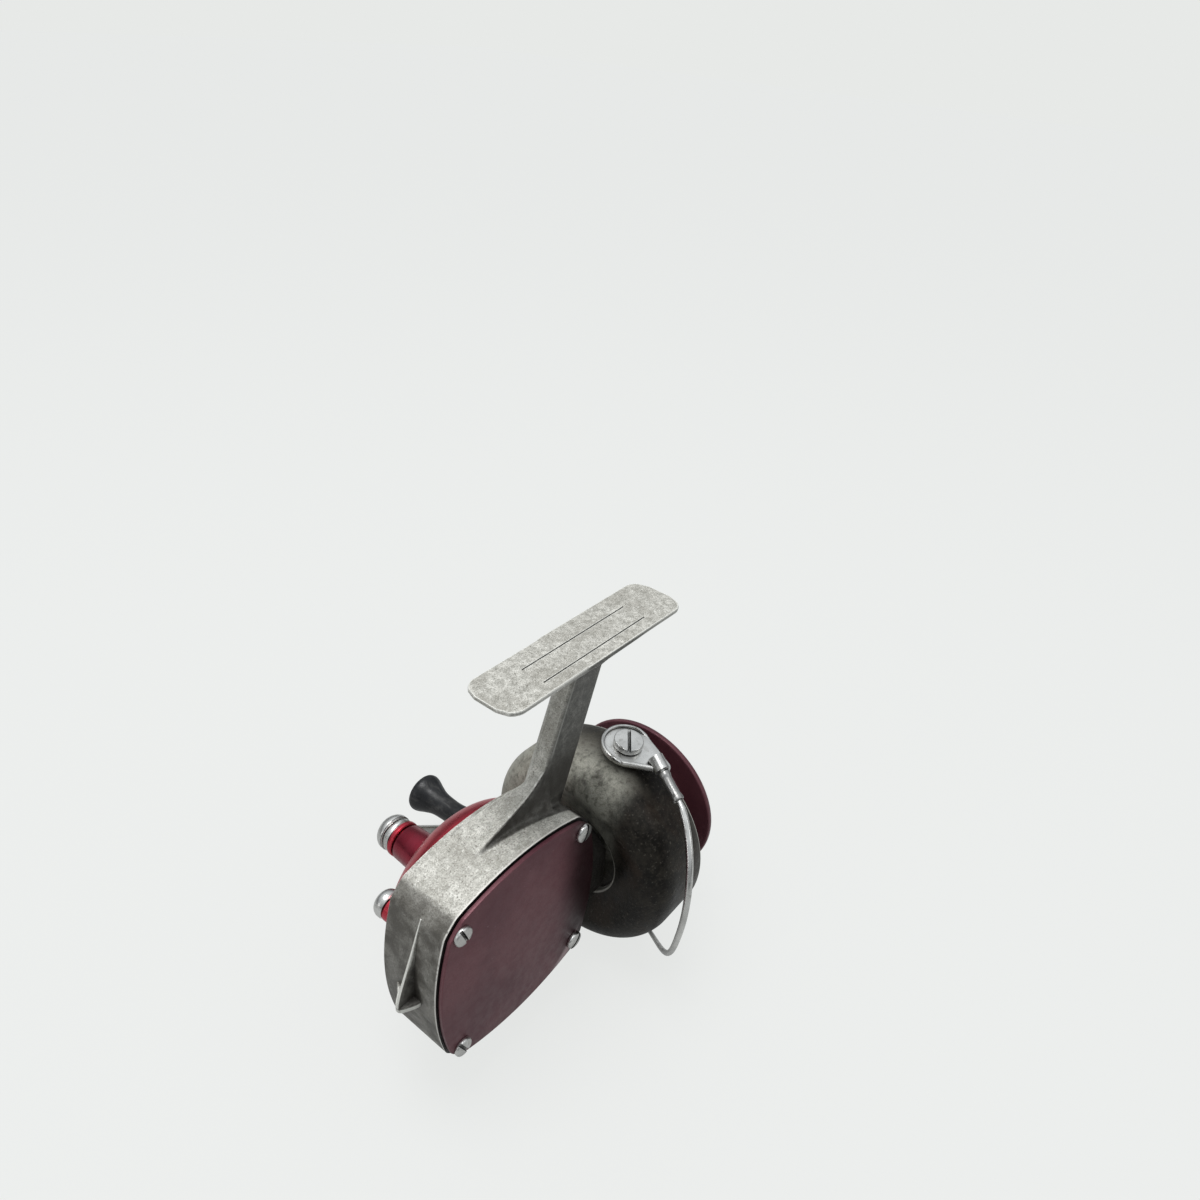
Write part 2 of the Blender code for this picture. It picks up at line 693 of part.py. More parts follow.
def rear_fin():
    """The thin rib down the rear wall and the small flat shelf that ends it."""
    back = HOUSING_CENTRE_X - HOUSING_HALF_LENGTH
    wall = back - HOUSING_BULGE_X + HOUSING_WALL / 2
    end = back - HOUSING_BULGE_X - FIN_REACH
    foot = FIN_SHELF_LOW + FIN_SHELF_THICKNESS / 2
    crest = [
        (back - HOUSING_BULGE_X * bulge - FIN_REACH * reach, FIN_HEIGHT * height)
        for height, bulge, reach in FIN_CREST_SHARES
    ]
    crest += [(end, foot), (wall, foot), (wall, FIN_HEIGHT * FIN_ROOT_SHARE)]
    fin = plate("fin", CASTING, [crest], FIN_THICKNESS, GEARBOX, (0, FIN_SIDE, 0), FACING_PLATE_SIDE)
    shelf = [
        (wall, FIN_SIDE - FIN_THICKNESS),
        (end + GAP, FIN_SIDE - FIN_THICKNESS / 2 - GAP),
        (end + GAP, FIN_SIDE + FIN_THICKNESS / 2 + GAP),
        (wall, FIN_SIDE + FIN_SHELF_WIDTH),
    ]
    level = (0, 0, FIN_SHELF_LOW + FIN_SHELF_THICKNESS / 2)
    return join(fin, plate("fin_shelf", CASTING, [shelf], FIN_SHELF_THICKNESS, GEARBOX, level))


def casting():
    depth = HOUSING_PLATE_FACE + HOUSING_COVER_FACE
    middle = (0, (HOUSING_COVER_FACE - HOUSING_PLATE_FACE) / 2, 0)
    body = plate("body_casting", CASTING, [housing_outline(0)], depth, GEARBOX, middle, FACING_PLATE_SIDE)
    join(body, stem_bar(), foot_block(), gusset_web(), rear_fin())
    front_boss = turned(
        "front_boss", CASTING, solid_profile(FRONT_BOSS, BEARING_START + HOUSING_WALL * 2, FRONT_BOSS_END),
        GEARBOX, turn=ALONG_X,
    )
    under_cover = solid_profile(COVER_RADIUS + GAP, HOUSING_COVER_FACE - GAP, FRONT_BOSS + OVERRUN)
    cover_room = turned("cover_room", CASTING, under_cover, CRANK, turn=ALONG_Y)
    plate_room = block(
        "plate_room", CASTING, (0, -FRONT_BOSS - OVERRUN, -FRONT_BOSS - OVERRUN),
        (COVER_RADIUS + GAP, GAP * 2 - HOUSING_PLATE_FACE, FRONT_BOSS + OVERRUN), GEARBOX,
    )
    join(body, cut(front_boss, cover_room, plate_room))
    inside_depth = depth - HOUSING_COVER_WALL + OVERRUN
    inside_middle = -HOUSING_PLATE_FACE - OVERRUN + inside_depth / 2
    hollow = plate(
        "hollow", CASTING, [housing_outline(HOUSING_WALL)], inside_depth,
        GEARBOX, (0, inside_middle, 0), FACING_PLATE_SIDE,
    )
    cut(body, hollow)
    inner_boss = turned(
        "inner_boss", CASTING, solid_profile(INNER_BOSS, INNER_BOSS_START, ROTOR_REAR - OVERRUN),
        GEARBOX, turn=ALONG_X, steps=COARSE_STEPS,
    )
    guide = turned(
        "shaft_guide", CASTING, solid_profile(SHAFT_GUIDE, SHAFT_GUIDE_START - GAP, SHAFT_GUIDE_END),
        GEARBOX, turn=ALONG_X, steps=COARSE_STEPS,
    )
    tooth_tips = MESH_INNER * (PINION_TEETH / GEAR_TEETH - TOOTH_RISE / MESH_REACH)
    under_gear = block(
        "under_gear", CASTING, (-GEAR_DISC_RADIUS - OVERRUN, tooth_tips - GAP, -SHAFT_GUIDE - OVERRUN),
        (SHAFT_GUIDE_END + OVERRUN, SHAFT_GUIDE + OVERRUN, SHAFT_GUIDE + OVERRUN), GEARBOX,
    )
    join(body, inner_boss, cut(guide, under_gear))
    spigot_end = HOUSING_COVER_FACE - SPIGOT_DEPTH
    spigot_room = solid_profile(SPIGOT_RADIUS + GAP, spigot_end, HOUSING_COVER_FACE + OVERRUN)
    cut(body, turned("cover_opening", CASTING, spigot_room, CRANK, turn=ALONG_Y))
    pillar = solid_profile(SCREW_BOSS, HOUSING_COVER_WALL / 2 - HOUSING_COVER_FACE, HOUSING_PLATE_FACE - GAP)
    floor = HOUSING_PLATE_FACE + PLATE_THICKNESS - SCREW_SHANK_LENGTH - OVERRUN
    hole = solid_profile(SCREW_SHANK + GAP, floor, HOUSING_PLATE_FACE + OVERRUN)
    for number, (x, z) in enumerate(screw_places()):
        name = f"pillar_{number}"
        join(body, turned(name, CASTING, pillar, GEARBOX, (x, 0, z), FACING_PLATE_SIDE, COARSE_STEPS))
    for number, (x, z) in enumerate(screw_places()):
        name = f"tapping_{number}"
        cut(body, turned(name, CASTING, hole, GEARBOX, (x, 0, z), FACING_PLATE_SIDE, COARSE_STEPS))
    bore_form = solid_profile(BEARING_BORE, INNER_BOSS_START - OVERRUN, FRONT_BOSS_END + OVERRUN)
    bore = turned("bearing_bore", CASTING, bore_form, GEARBOX, turn=ALONG_X)
    blind = turned(
        "guide_bore", CASTING, solid_profile(PINION_BORE, SHAFT_GUIDE_FLOOR, SHAFT_GUIDE_END + OVERRUN),
        GEARBOX, turn=ALONG_X, steps=MIDDLE_STEPS,
    )
    cut(body, blind, bore)


def side_plate():
    holes = [arc(spot, SCREW_SHANK + GAP, 0.0, 2 * math.pi * 15 / 16, 15) for spot in screw_places()]
    middle = (0, -(HOUSING_PLATE_FACE + GAP + PLATE_THICKNESS / 2), 0)
    outline = housing_outline(PLATE_INSET)
    plate("side_plate", MAROON, [outline] + holes, PLATE_THICKNESS, GEARBOX, middle, FACING_PLATE_SIDE)
    face = HOUSING_PLATE_FACE + PLATE_THICKNESS + GAP * 2
    for number, (x, z) in enumerate(screw_places(), 1):
        slotted_screw(
            f"plate_screw_{number}", CHROME, SCREW_HEAD, SCREW_HEAD_RISE, SCREW_SHANK, SCREW_SHANK_LENGTH,
            SLOT_WIDTH, True, GEARBOX, (x, -face, z), FACING_PLATE_SIDE,
        )


def dome_arc(radius, height, base, count, until):
    """Quarter ellipse points from the dome's rim to the radius where it meets something."""
    last = math.acos(until / radius)
    return [
        (radius * math.cos(last * index / count), base + height * math.sin(last * index / count))
        for index in range(count + 1)
    ]


def handle_side_cover():
    base = HOUSING_COVER_FACE + GAP
    bush_room = CRANK_SHAFT + CRANK_BUSH_WALL + GAP * 2
    outer = dome_arc(COVER_RADIUS, COVER_HEIGHT, base, 9, COVER_BOSS_ROOT)
    inner = dome_arc(COVER_RADIUS - COVER_WALL, COVER_HEIGHT - COVER_WALL, base, 7, COVER_BOSS_ROOT)
    inner = [point for point in inner if point[1] > base + COVER_FLANGE]
    spigot_inner = SPIGOT_RADIUS - SPIGOT_WALL
    profile = outer + [
        (COVER_BOSS_TIP, COVER_BOSS_END),
        (bush_room, COVER_BOSS_END),
        (bush_room, COVER_BOSS_START),
        (COVER_BOSS_ROOT, COVER_BOSS_START),
    ]
    profile += inner[::-1] + [
        (COVER_RADIUS - COVER_WALL, base + COVER_FLANGE),
        (spigot_inner, base + COVER_FLANGE),
        (spigot_inner, base - SPIGOT_DEPTH),
        (SPIGOT_RADIUS, base - SPIGOT_DEPTH),
        (SPIGOT_RADIUS, base),
    ]
    cover = turned("handle_side_cover", CRIMSON, profile, CRANK, turn=ALONG_Y, steps=LARGE_STEPS)
    seat_low = base + COVER_HEIGHT - COVER_WALL * 3
    seat = turned(
        "switch_seat", CRIMSON, solid_profile(SWITCH_SEAT, seat_low, SWITCH_SEAT_FACE),
        SWITCH, turn=ALONG_Y, steps=COARSE_STEPS,
    )
    under_seat = (COVER_RADIUS - COVER_WALL, COVER_HEIGHT - COVER_WALL)
    room = [(0.0, base)] + dome_arc(*under_seat, base, 7, 0.0)
    under = turned("under_seat", CRIMSON, room, CRANK, turn=ALONG_Y, steps=LARGE_STEPS)
    join(cover, cut(seat, under))
    hole = solid_profile(SWITCH_SHAFT + GAP, seat_low - COVER_HEIGHT / 2, SWITCH_SEAT_FACE + OVERRUN)
    cut(cover, turned("switch_hole", CRIMSON, hole, SWITCH, turn=ALONG_Y, steps=COARSE_STEPS))


def crank_bush():
    bore = CRANK_SHAFT + GAP
    bush = tube_profile(bore + CRANK_BUSH_WALL, bore, CRANK_BUSH_START, COVER_BOSS_END - GAP)
    turned("crank_bush", BRASS, bush, CRANK, turn=ALONG_Y, steps=COARSE_STEPS)


def crank_shaft():
    profile = [
        (0.0, CRANK_STUB_END),
        (CRANK_STUB, CRANK_STUB_END),
        (CRANK_STUB, CRANK_SHAFT_END),
        (CRANK_SHAFT, CRANK_SHAFT_END),
        (CRANK_SHAFT, CRANK_BUSH_START - GAP),
        (THRUST_COLLAR, CRANK_BUSH_START - GAP),
        (THRUST_COLLAR, THRUST_COLLAR_START),
        (CRANK_SHAFT, THRUST_COLLAR_START),
        (CRANK_SHAFT, CRANK_SHAFT_START),
        (0.0, CRANK_SHAFT_START),
    ]
    turned("crank_shaft", STEEL, profile, CRANK, turn=ALONG_Y, steps=COARSE_STEPS)


def gear_tooth_section():
    """One face tooth seen along its length at the inner end, in proportion to the mesh point."""
    scale = MESH_INNER / MESH_REACH
    pitch_radius = MESH_REACH / (GEAR_TEETH / PINION_TEETH)
    half = (math.pi * MESH_REACH / GEAR_TEETH - TOOTH_THINNING) / 2
    flare = math.tan(PRESSURE_ANGLE)
    tip = half - TOOTH_RISE * flare
    root = half + TOOTH_DROP * flare
    disc = (GEAR_DISC_START + GAP) / scale
    levels = [
        (tip, pitch_radius - TOOTH_RISE),
        (root, pitch_radius + TOOTH_DROP),
        (root, disc),
    ]
    right = [(across * scale, level * scale) for across, level in levels]
    return right + [(-across, level) for across, level in reversed(right)]


def drive_gear():
    """A disc whose teeth face the plate side; each tooth runs past the crank axis at its offset."""
    scale = MESH_OUTER / MESH_INNER
    teeth = bmesh.new()
    for number in range(GEAR_TEETH):
        section = gear_tooth_section()
        near = [teeth.verts.new((MESH_INNER, CRANK_ABOVE_SHAFT + across, level)) for across, level in section]
        face = teeth.faces.new(near)
        grown = bmesh.ops.extrude_face_region(teeth, geom=[face])
        far = [item for item in grown["geom"] if isinstance(item, bmesh.types.BMVert)]
        apex = Matrix.Translation((0.0, -CRANK_ABOVE_SHAFT, 0.0))
        bmesh.ops.scale(teeth, vec=(scale,) * 3, space=apex, verts=far)
        for vertex in far:
            vertex.co.z = min(vertex.co.z, GEAR_DISC_START + GAP)
        turn = Matrix.Rotation(2 * math.pi * number / GEAR_TEETH, 3, "Z")
        bmesh.ops.rotate(teeth, matrix=turn, verts=near + far)
    bmesh.ops.recalc_face_normals(teeth, faces=teeth.faces)
    mesh = bpy.data.meshes.new("gear_teeth")
    teeth.to_mesh(mesh)
    teeth.free()
    ring = into(PARTS, mesh_object("gear_teeth", mesh, STEEL), CRANK, (0, 0, 0), ALONG_Y)
    profile = [
        (GEAR_DISC_RADIUS, GEAR_DISC_END - GAP),
        (GEAR_DISC_RADIUS, GEAR_DISC_START),
        (CRANK_SHAFT + GAP, GEAR_DISC_START),
        (CRANK_SHAFT + GAP, GEAR_HUB_END),
        (GEAR_HUB_RADIUS, GEAR_HUB_END),
        (GEAR_HUB_RADIUS, GEAR_DISC_END),
        (GEAR_DISC_RADIUS - GAP, GEAR_DISC_END),
    ]
    gear = turned("drive_gear", STEEL, profile, CRANK, turn=ALONG_Y)
    pin = turned(
        "throw_pin", STEEL, solid_profile(CRANK_PIN, CRANK_PIN_START, GEAR_DISC_END - GAP),
        CRANK, throw_pin_place(), ALONG_Y, COARSE_STEPS,
    )
    join(gear, ring, pin)


def throw_pin_place():
    """The eccentric pin stands above the shaft, as far forward as the crosshead does at rest."""
    return (SPOOL_FORWARD, 0.0, math.sqrt(CRANK_PIN_THROW**2 - SPOOL_FORWARD**2))


def ratchet_wheel():
    teeth = lobed(RATCHET_TIP, RATCHET_ROOT, RATCHET_TEETH, RATCHET_LEAN_SHARE)
    bore = arc((0, 0), CRANK_SHAFT + GAP, 0.0, 2 * math.pi * 23 / 24, 23)
    place = (0, RATCHET_START + RATCHET_WIDTH / 2, 0)
    plate("ratchet_wheel", STEEL, [teeth, bore], RATCHET_WIDTH, CRANK, place, FACING_PLATE_SIDE)


def handle():
    collar = tube_profile(COVER_BOSS_TIP, CRANK_STUB + GAP, COLLAR_START, COLLAR_END)
    turned("handle_collar", CRIMSON, collar, CRANK, turn=ALONG_Y)
    leave_hub = math.asin(ARM_WAIST / ARM_HUB)
    hub = arc((0, 0), ARM_HUB, leave_hub, 2 * math.pi - leave_hub, 20)
    leave_tip = math.asin(ARM_WAIST / ARM_TIP)
    tip = arc((ARM_LENGTH, 0), ARM_TIP, leave_tip - math.pi, math.pi - leave_tip, 16)
    bore = arc((0, 0), CRANK_STUB + GAP, 0.0, 2 * math.pi * 15 / 16, 15)
    pin_bore = arc((ARM_LENGTH, 0), KNOB_PIN + GAP, 0.0, 2 * math.pi * 15 / 16, 15)
    slope = (-math.pi / 2, ARM_SLOPE, 0.0)
    outer = ARM_START + ARM_THICKNESS
    side = [
        (-ARM_HUB * 2, ARM_START),
        (ARM_BEND_START, ARM_START),
        (ARM_BEND_END, ARM_START + ARM_RISE),
        (ARM_LENGTH + ARM_TIP * 2, ARM_START + ARM_RISE),
        (ARM_LENGTH + ARM_TIP * 2, outer + ARM_RISE),
        (ARM_BEND_END, outer + ARM_RISE),
        (ARM_BEND_START, outer),
        (-ARM_HUB * 2, outer),
    ]
    slope_frame = axis_frame("arm_direction", (0, 0, 0), CRANK, slope)
    arm = plate("crank_arm", CHROME, [side], ARM_HUB * 4, slope_frame, turn=FACING_PLATE_SIDE)
    form = plate("arm_plan", CHROME, [hub + tip, bore, pin_bore], ARM_START * 4, slope_frame)
    keep_inside(arm, form)
    crown = NUT_HEIGHT - NUT_BASE
    dome = [
        (NUT_RADIUS * math.sin(share * math.pi / 2), NUT_BASE + crown * math.cos(share * math.pi / 2))
        for share in NUT_SHARES
    ]
    thread = CRANK_STUB + GAP
    cavity = CRANK_STUB_END + GAP - (outer + GAP)
    nut = dome + [(NUT_RADIUS, 0.0), (thread, 0.0), (thread, cavity), (0.0, cavity)]
    turned("handle_nut", CHROME, nut, CRANK, (0, outer + GAP, 0), ALONG_Y, MIDDLE_STEPS)


def handle_knob():
    base = ARM_START + ARM_THICKNESS + ARM_RISE + GAP
    flank = [
        (KNOB_WAIST + (KNOB_ROOT - KNOB_WAIST) * swell, KNOB_LENGTH * along)
        for along, swell in KNOB_FLANK_SHARES
    ]
    head = [
        (KNOB_WAIST + (KNOB_END - KNOB_WAIST) * swell, KNOB_LENGTH * along)
        for along, swell in KNOB_CROWN_SHARES
    ]
    recess = KNOB_PIN_HEAD + GAP
    floor = KNOB_LENGTH - KNOB_RECESS
    inside = [(recess, KNOB_LENGTH), (recess, floor), (KNOB_PIN + GAP, floor), (KNOB_PIN + GAP, 0.0)]
    turned("handle_knob", BLACK, flank + head + inside, KNOB, (0, base, 0), ALONG_Y, MIDDLE_STEPS)
    shank = floor + GAP
    rivet = GAP * 2 + ARM_THICKNESS
    pin = [
        (0.0, shank + KNOB_RECESS / 2),
        (KNOB_PIN_HEAD - KNOB_RECESS / 4, shank + KNOB_RECESS / 2),
        (KNOB_PIN_HEAD, shank + KNOB_RECESS / 4),
        (KNOB_PIN_HEAD, shank),
        (KNOB_PIN, shank),
        (KNOB_PIN, -rivet),
        (KNOB_PIN_HEAD, -rivet),
        (KNOB_PIN_HEAD, -rivet - KNOB_RIVET),
        (0.0, -rivet - KNOB_RIVET),
    ]
    turned("knob_spindle", CHROME, pin, KNOB, (0, base, 0), ALONG_Y, COARSE_STEPS)


def pinion_section():
    """Involute teeth at the inner end of the mesh, in proportion to the mesh point."""
    scale = MESH_INNER / MESH_REACH
    pitch = MESH_REACH / (GEAR_TEETH / PINION_TEETH)
    base = pitch * math.cos(PRESSURE_ANGLE)
    tip = pitch + TOOTH_RISE
    root = pitch - TOOTH_DROP
    half_pitch_angle = (math.pi / PINION_TEETH) / 2 - TOOTH_THINNING / (2 * pitch)

    def roll(radius):
        tangent = math.sqrt(max(0.0, (radius / base) ** 2 - 1))
        return tangent - math.atan(tangent)

    half_base = half_pitch_angle + roll(pitch)
    radii = [root] + [base + (tip - base) * share for share in PINION_FLANK_SHARES]
    flank = [(radius, half_base - roll(radius)) for radius in radii]
    points = []
    for number in range(PINION_TEETH):
        centre = -math.pi / 2 + 2 * math.pi * (number + 0.5) / PINION_TEETH
        for radius, half in flank:
            points.append((radius * math.cos(centre - half), radius * math.sin(centre - half)))
        for radius, half in reversed(flank):
            points.append((radius * math.cos(centre + half), radius * math.sin(centre + half)))
    return [(x * scale, y * scale) for x, y in points]


def pinion():
    """Teeth and rotor tube in one piece; a tooth gap faces the drive gear at rest."""
    tube = [
        (PINION_TUBE, PINION_TUBE_END),
        (PINION_TUBE, PINION_SHOULDER_START + PINION_SHOULDER_WIDTH),
        (PINION_SHOULDER, PINION_SHOULDER_START + PINION_SHOULDER_WIDTH),
        (PINION_SHOULDER, PINION_SHOULDER_START),
        (PINION_TUBE, PINION_SHOULDER_START),
        (PINION_TUBE, MESH_OUTER - GAP),
        (PINION_BORE, MESH_OUTER - GAP),
        (PINION_BORE, PINION_TUBE_END),
    ]
    shaft = turned("pinion_shaft", BRASS, tube, PINION_MESH, steps=MIDDLE_STEPS)
    teeth = tapering_prism("pinion", BRASS, pinion_section(), MESH_INNER, MESH_OUTER, (0, 0), PINION_MESH)
    bore = solid_profile(PINION_BORE, MESH_INNER - OVERRUN, MESH_OUTER + OVERRUN)
    join(teeth, shaft)
    cut(teeth, turned("pinion_bore", BRASS, bore, PINION_MESH, steps=MIDDLE_STEPS))


def rotor_bearings():
    inner = PINION_TUBE + GAP
    outer = BEARING_BORE - GAP
    second = BEARING_START + BEARING_WIDTH + GAP * 2
    end = second + BEARING_WIDTH
    for name, start in (("rear_rotor_bush", BEARING_START), ("front_rotor_bush", second)):
        bush = tube_profile(outer, inner, start, start + BEARING_WIDTH)
        turned(name, BRASS, bush, GEARBOX, turn=ALONG_X, steps=MIDDLE_STEPS)
    ring = tube_profile(outer, inner, end + GAP, end + GAP + RETAINER_WIDTH)
    turned("bush_retaining_ring", STEEL, ring, GEARBOX, turn=ALONG_X, steps=MIDDLE_STEPS)


def rotor_cup():
    bend = [
        (ROTOR_RADIUS - ROTOR_SHOULDER * (1 - math.sin(a)), ROTOR_REAR + ROTOR_SHOULDER * (1 - math.cos(a)))
        for a in [math.pi / 2 * index / 5 for index in range(6)]
    ]
    inner_shoulder = ROTOR_SHOULDER - ROTOR_WALL
    inside_bend = [
        (ROTOR_RADIUS - ROTOR_WALL - inner_shoulder * (1 - math.sin(a)),
         ROTOR_REAR + ROTOR_WALL + inner_shoulder * (1 - math.cos(a)))
        for a in [math.pi / 2 * index / 3 for index in range(4)]
    ]
    dish = ROTOR_REAR + ROTOR_DISH
    profile = [(ROTOR_RIM_RADIUS, ROTOR_RIM)] + bend[::-1] + [
        (ROTOR_RECESS, dish),
        (ROTOR_RECESS, ROTOR_FLOOR),
        (PINION_TUBE + GAP, ROTOR_FLOOR),
        (PINION_TUBE + GAP, ROTOR_HUB_END),
        (ROTOR_HUB, ROTOR_HUB_END),
        (ROTOR_RECESS + ROTOR_WALL, ROTOR_FLOOR + ROTOR_WALL / 2),
        (ROTOR_RECESS + ROTOR_WALL, dish + ROTOR_WALL),
    ]
    profile += inside_bend + [(ROTOR_RIM_RADIUS - ROTOR_WALL, ROTOR_RIM)]
    cup = turned("rotor_cup", DARK_METAL, profile, ROTOR, steps=LARGE_STEPS)
    place = (0, 0, PIVOT_FORWARD)
    ear = solid_profile(EAR_RADIUS, EAR_ROOT, EAR_FACE)
    hole = solid_profile(BAIL_SCREW_SHANK + GAP, EAR_ROOT - ROTOR_WALL * 2, EAR_FACE + OVERRUN)
    for side in (1, -1):
        turn = (0.0, side * math.pi / 2, 0.0)
        join(cup, turned(f"ear_{side}", DARK_METAL, ear, ROTOR, place, turn, MIDDLE_STEPS))
    for side in (1, -1):
        turn = (0.0, side * math.pi / 2, 0.0)
        cut(cup, turned(f"ear_hole_{side}", DARK_METAL, hole, ROTOR, place, turn, COARSE_STEPS))
    washer_start = ROTOR_HUB_END + GAP
    washer = tube_profile(ROTOR_NUT, PINION_TUBE + GAP, washer_start, washer_start + LOCK_WASHER)
    turned("rotor_lock_washer", STEEL, washer, ROTOR, steps=COARSE_STEPS)
    hexagon = arc((0, 0), ROTOR_NUT, 0.0, 2 * math.pi * 5 / 6, 5)
    bore = arc((0, 0), PINION_TUBE + GAP, 0.0, 2 * math.pi * 23 / 24, 23)
    nut_middle = washer_start + LOCK_WASHER + GAP + ROTOR_NUT_WIDTH / 2
    plate("rotor_nut", CHROME, [hexagon, bore], ROTOR_NUT_WIDTH, ROTOR, (0, 0, nut_middle))


def wire_point(angle):
    """The bail wire's curve in the bail's frame: X up the pivot, Y to the open side, Z forward."""
    up = math.sin(angle)
    out = math.cos(angle)
    power = 2 / WIRE_SQUARENESS
    rise = WIRE_HALF_SPAN * math.copysign(abs(up) ** power, up)
    reach = WIRE_REACH * abs(out) ** power
    sweep = WIRE_SWEEP * out**2 + WIRE_SKEW * up
    side = reach * math.cos(WIRE_TWIST) - sweep * math.sin(WIRE_TWIST)
    ahead = WIRE_FORWARD - reach * math.sin(WIRE_TWIST) - sweep * math.cos(WIRE_TWIST)
    return Vector((rise, side, ahead))


def roller_ends():
    """The straight stretch of wire that carries the line roller."""
    return wire_point(WIRE_PIN_START), wire_point(WIRE_START)


def frame_along(name, start, end, parent):
    """An empty at the start point whose local Z runs toward the end point."""
    turn = (end - start).to_track_quat("Z", "Y").to_euler()
    return axis_frame(name, start, parent, turn)


def bail_wire():
    start, roller_end = roller_ends()
    count = WIRE_POINTS
    angles = [WIRE_START + (WIRE_END - WIRE_START) * index / count for index in range(count + 1)]
    bend = [wire_point(angle) for angle in angles]
    last = bend[-1]
    inner = EAR_FACE - BRACKET_THICKNESS / 2
    corner = Vector((last.x, last.y - WIRE_RADIUS * 2, last.z))
    inward = Vector((-inner, corner.y, corner.z))
    path = [start, roller_end + (start - roller_end) * WIRE_TAPER_SHARE] + bend[1:] + [corner, inward]
    radii = [WIRE_PIN, WIRE_PIN]
    taper = len(path) - len(radii)
    for index in range(taper):
        share = index / (taper - 1)
        radii.append(WIRE_RADIUS + (WIRE_PIN - WIRE_RADIUS) * share**2)
    round_wire("bail_wire", CHROME, path, radii, BAIL)
    return corner


def bail_arms(wire_corner):
    start, roller_end = roller_ends()
    bore = arc((0, 0), BAIL_SCREW_SHANK + GAP, 0.0, 2 * math.pi * 15 / 16, 15)
    tip = (BRACKET_TIP_SIDE, BRACKET_TIP_FORWARD)
    turn_up = UPWARD_PLATE
    outline = link_outline((0, 0), BRACKET_RADIUS, tip, BRACKET_TIP)
    middle = EAR_FACE + GAP + BRACKET_THICKNESS / 2
    bracket = plate("bail_bracket", CHROME, [outline, bore], BRACKET_THICKNESS, BAIL, (middle, 0, 0), turn_up)
    direction = frame_along("roller_direction", start, roller_end, BAIL)
    length = (roller_end - start).length
    room_start = roller_start(length) - GAP
    socket_form = solid_profile(BRACKET_TIP, -BRACKET_SOCKET, room_start - GAP)
    socket = turned("wire_socket", CHROME, socket_form, direction, steps=COARSE_STEPS)
    wire_form = solid_profile(WIRE_PIN + GAP, -GAP, length)
    wire_room = turned("wire_room", CHROME, wire_form, direction, steps=COARSE_STEPS)
    roller_form = solid_profile(ROLLER_RADIUS + GAP, room_start, length)
    roller_room = turned("roller_room", CHROME, roller_form, direction, steps=COARSE_STEPS)
    cut(join(bracket, socket), wire_room, roller_room)
    far_tip = (wire_corner.y, wire_corner.z)
    far_outline = link_outline((0, 0), FAR_ARM_RADIUS, far_tip, FAR_ARM_TIP)
    far_bore = arc(far_tip, WIRE_PIN + GAP, 0.0, 2 * math.pi * 15 / 16, 15)
    plate(
        "bail_far_arm", CHROME, [far_outline, bore, far_bore], BRACKET_THICKNESS,
        BAIL, (-middle, 0, 0), turn_up,
    )
    return direction, length


def roller_start(length):
    return (length - ROLLER_LENGTH) / 2


def bail_screws():
    length = EAR_FACE + BRACKET_THICKNESS + GAP * 2 - EAR_ROOT + SPRING_LENGTH
    outer = EAR_FACE + BRACKET_THICKNESS + GAP * 2
    for name, side in (("bail_pivot_screw", 1), ("bail_far_pivot_screw", -1)):
        turn = (0.0, side * math.pi / 2, 0.0)
        slotted_screw(
            name, CHROME, BAIL_SCREW_HEAD, BAIL_SCREW_RISE, BAIL_SCREW_SHANK, length,
            BAIL_SCREW_SLOT, False, ROTOR, (side * outer, 0, PIVOT_FORWARD), turn,
        )
    count = SPRING_TURNS * 10
    top = EAR_ROOT - GAP - SPRING_WIRE
    path = []
    for index in range(count + 1):
        turn = 2 * math.pi * SPRING_TURNS * index / count
        height = top - SPRING_LENGTH * index / count
        path.append((height, SPRING_RADIUS * math.cos(turn), PIVOT_FORWARD + SPRING_RADIUS * math.sin(turn)))
    round_wire("bail_spring", STEEL, path, [SPRING_WIRE] * len(path), ROTOR, 1)
    print("bail spring gap between turns, mm:", (SPRING_LENGTH / SPRING_TURNS - 2 * SPRING_WIRE) / MM)


def line_roller(direction, length):
    bore = WIRE_PIN + GAP
    start = roller_start(length)
    end = start + ROLLER_LENGTH
    profile = [
        (ROLLER_RADIUS, end),
        (ROLLER_RADIUS, end - ROLLER_LIP),
        (ROLLER_WAIST, end - ROLLER_LIP * 2),
        (ROLLER_WAIST, start + ROLLER_LIP * 2),
        (ROLLER_RADIUS, start + ROLLER_LIP),
        (ROLLER_RADIUS, start),
        (bore, start),
        (bore, end),
    ]
    turned("line_roller", DULL_NICKEL, profile, direction, steps=COARSE_STEPS)


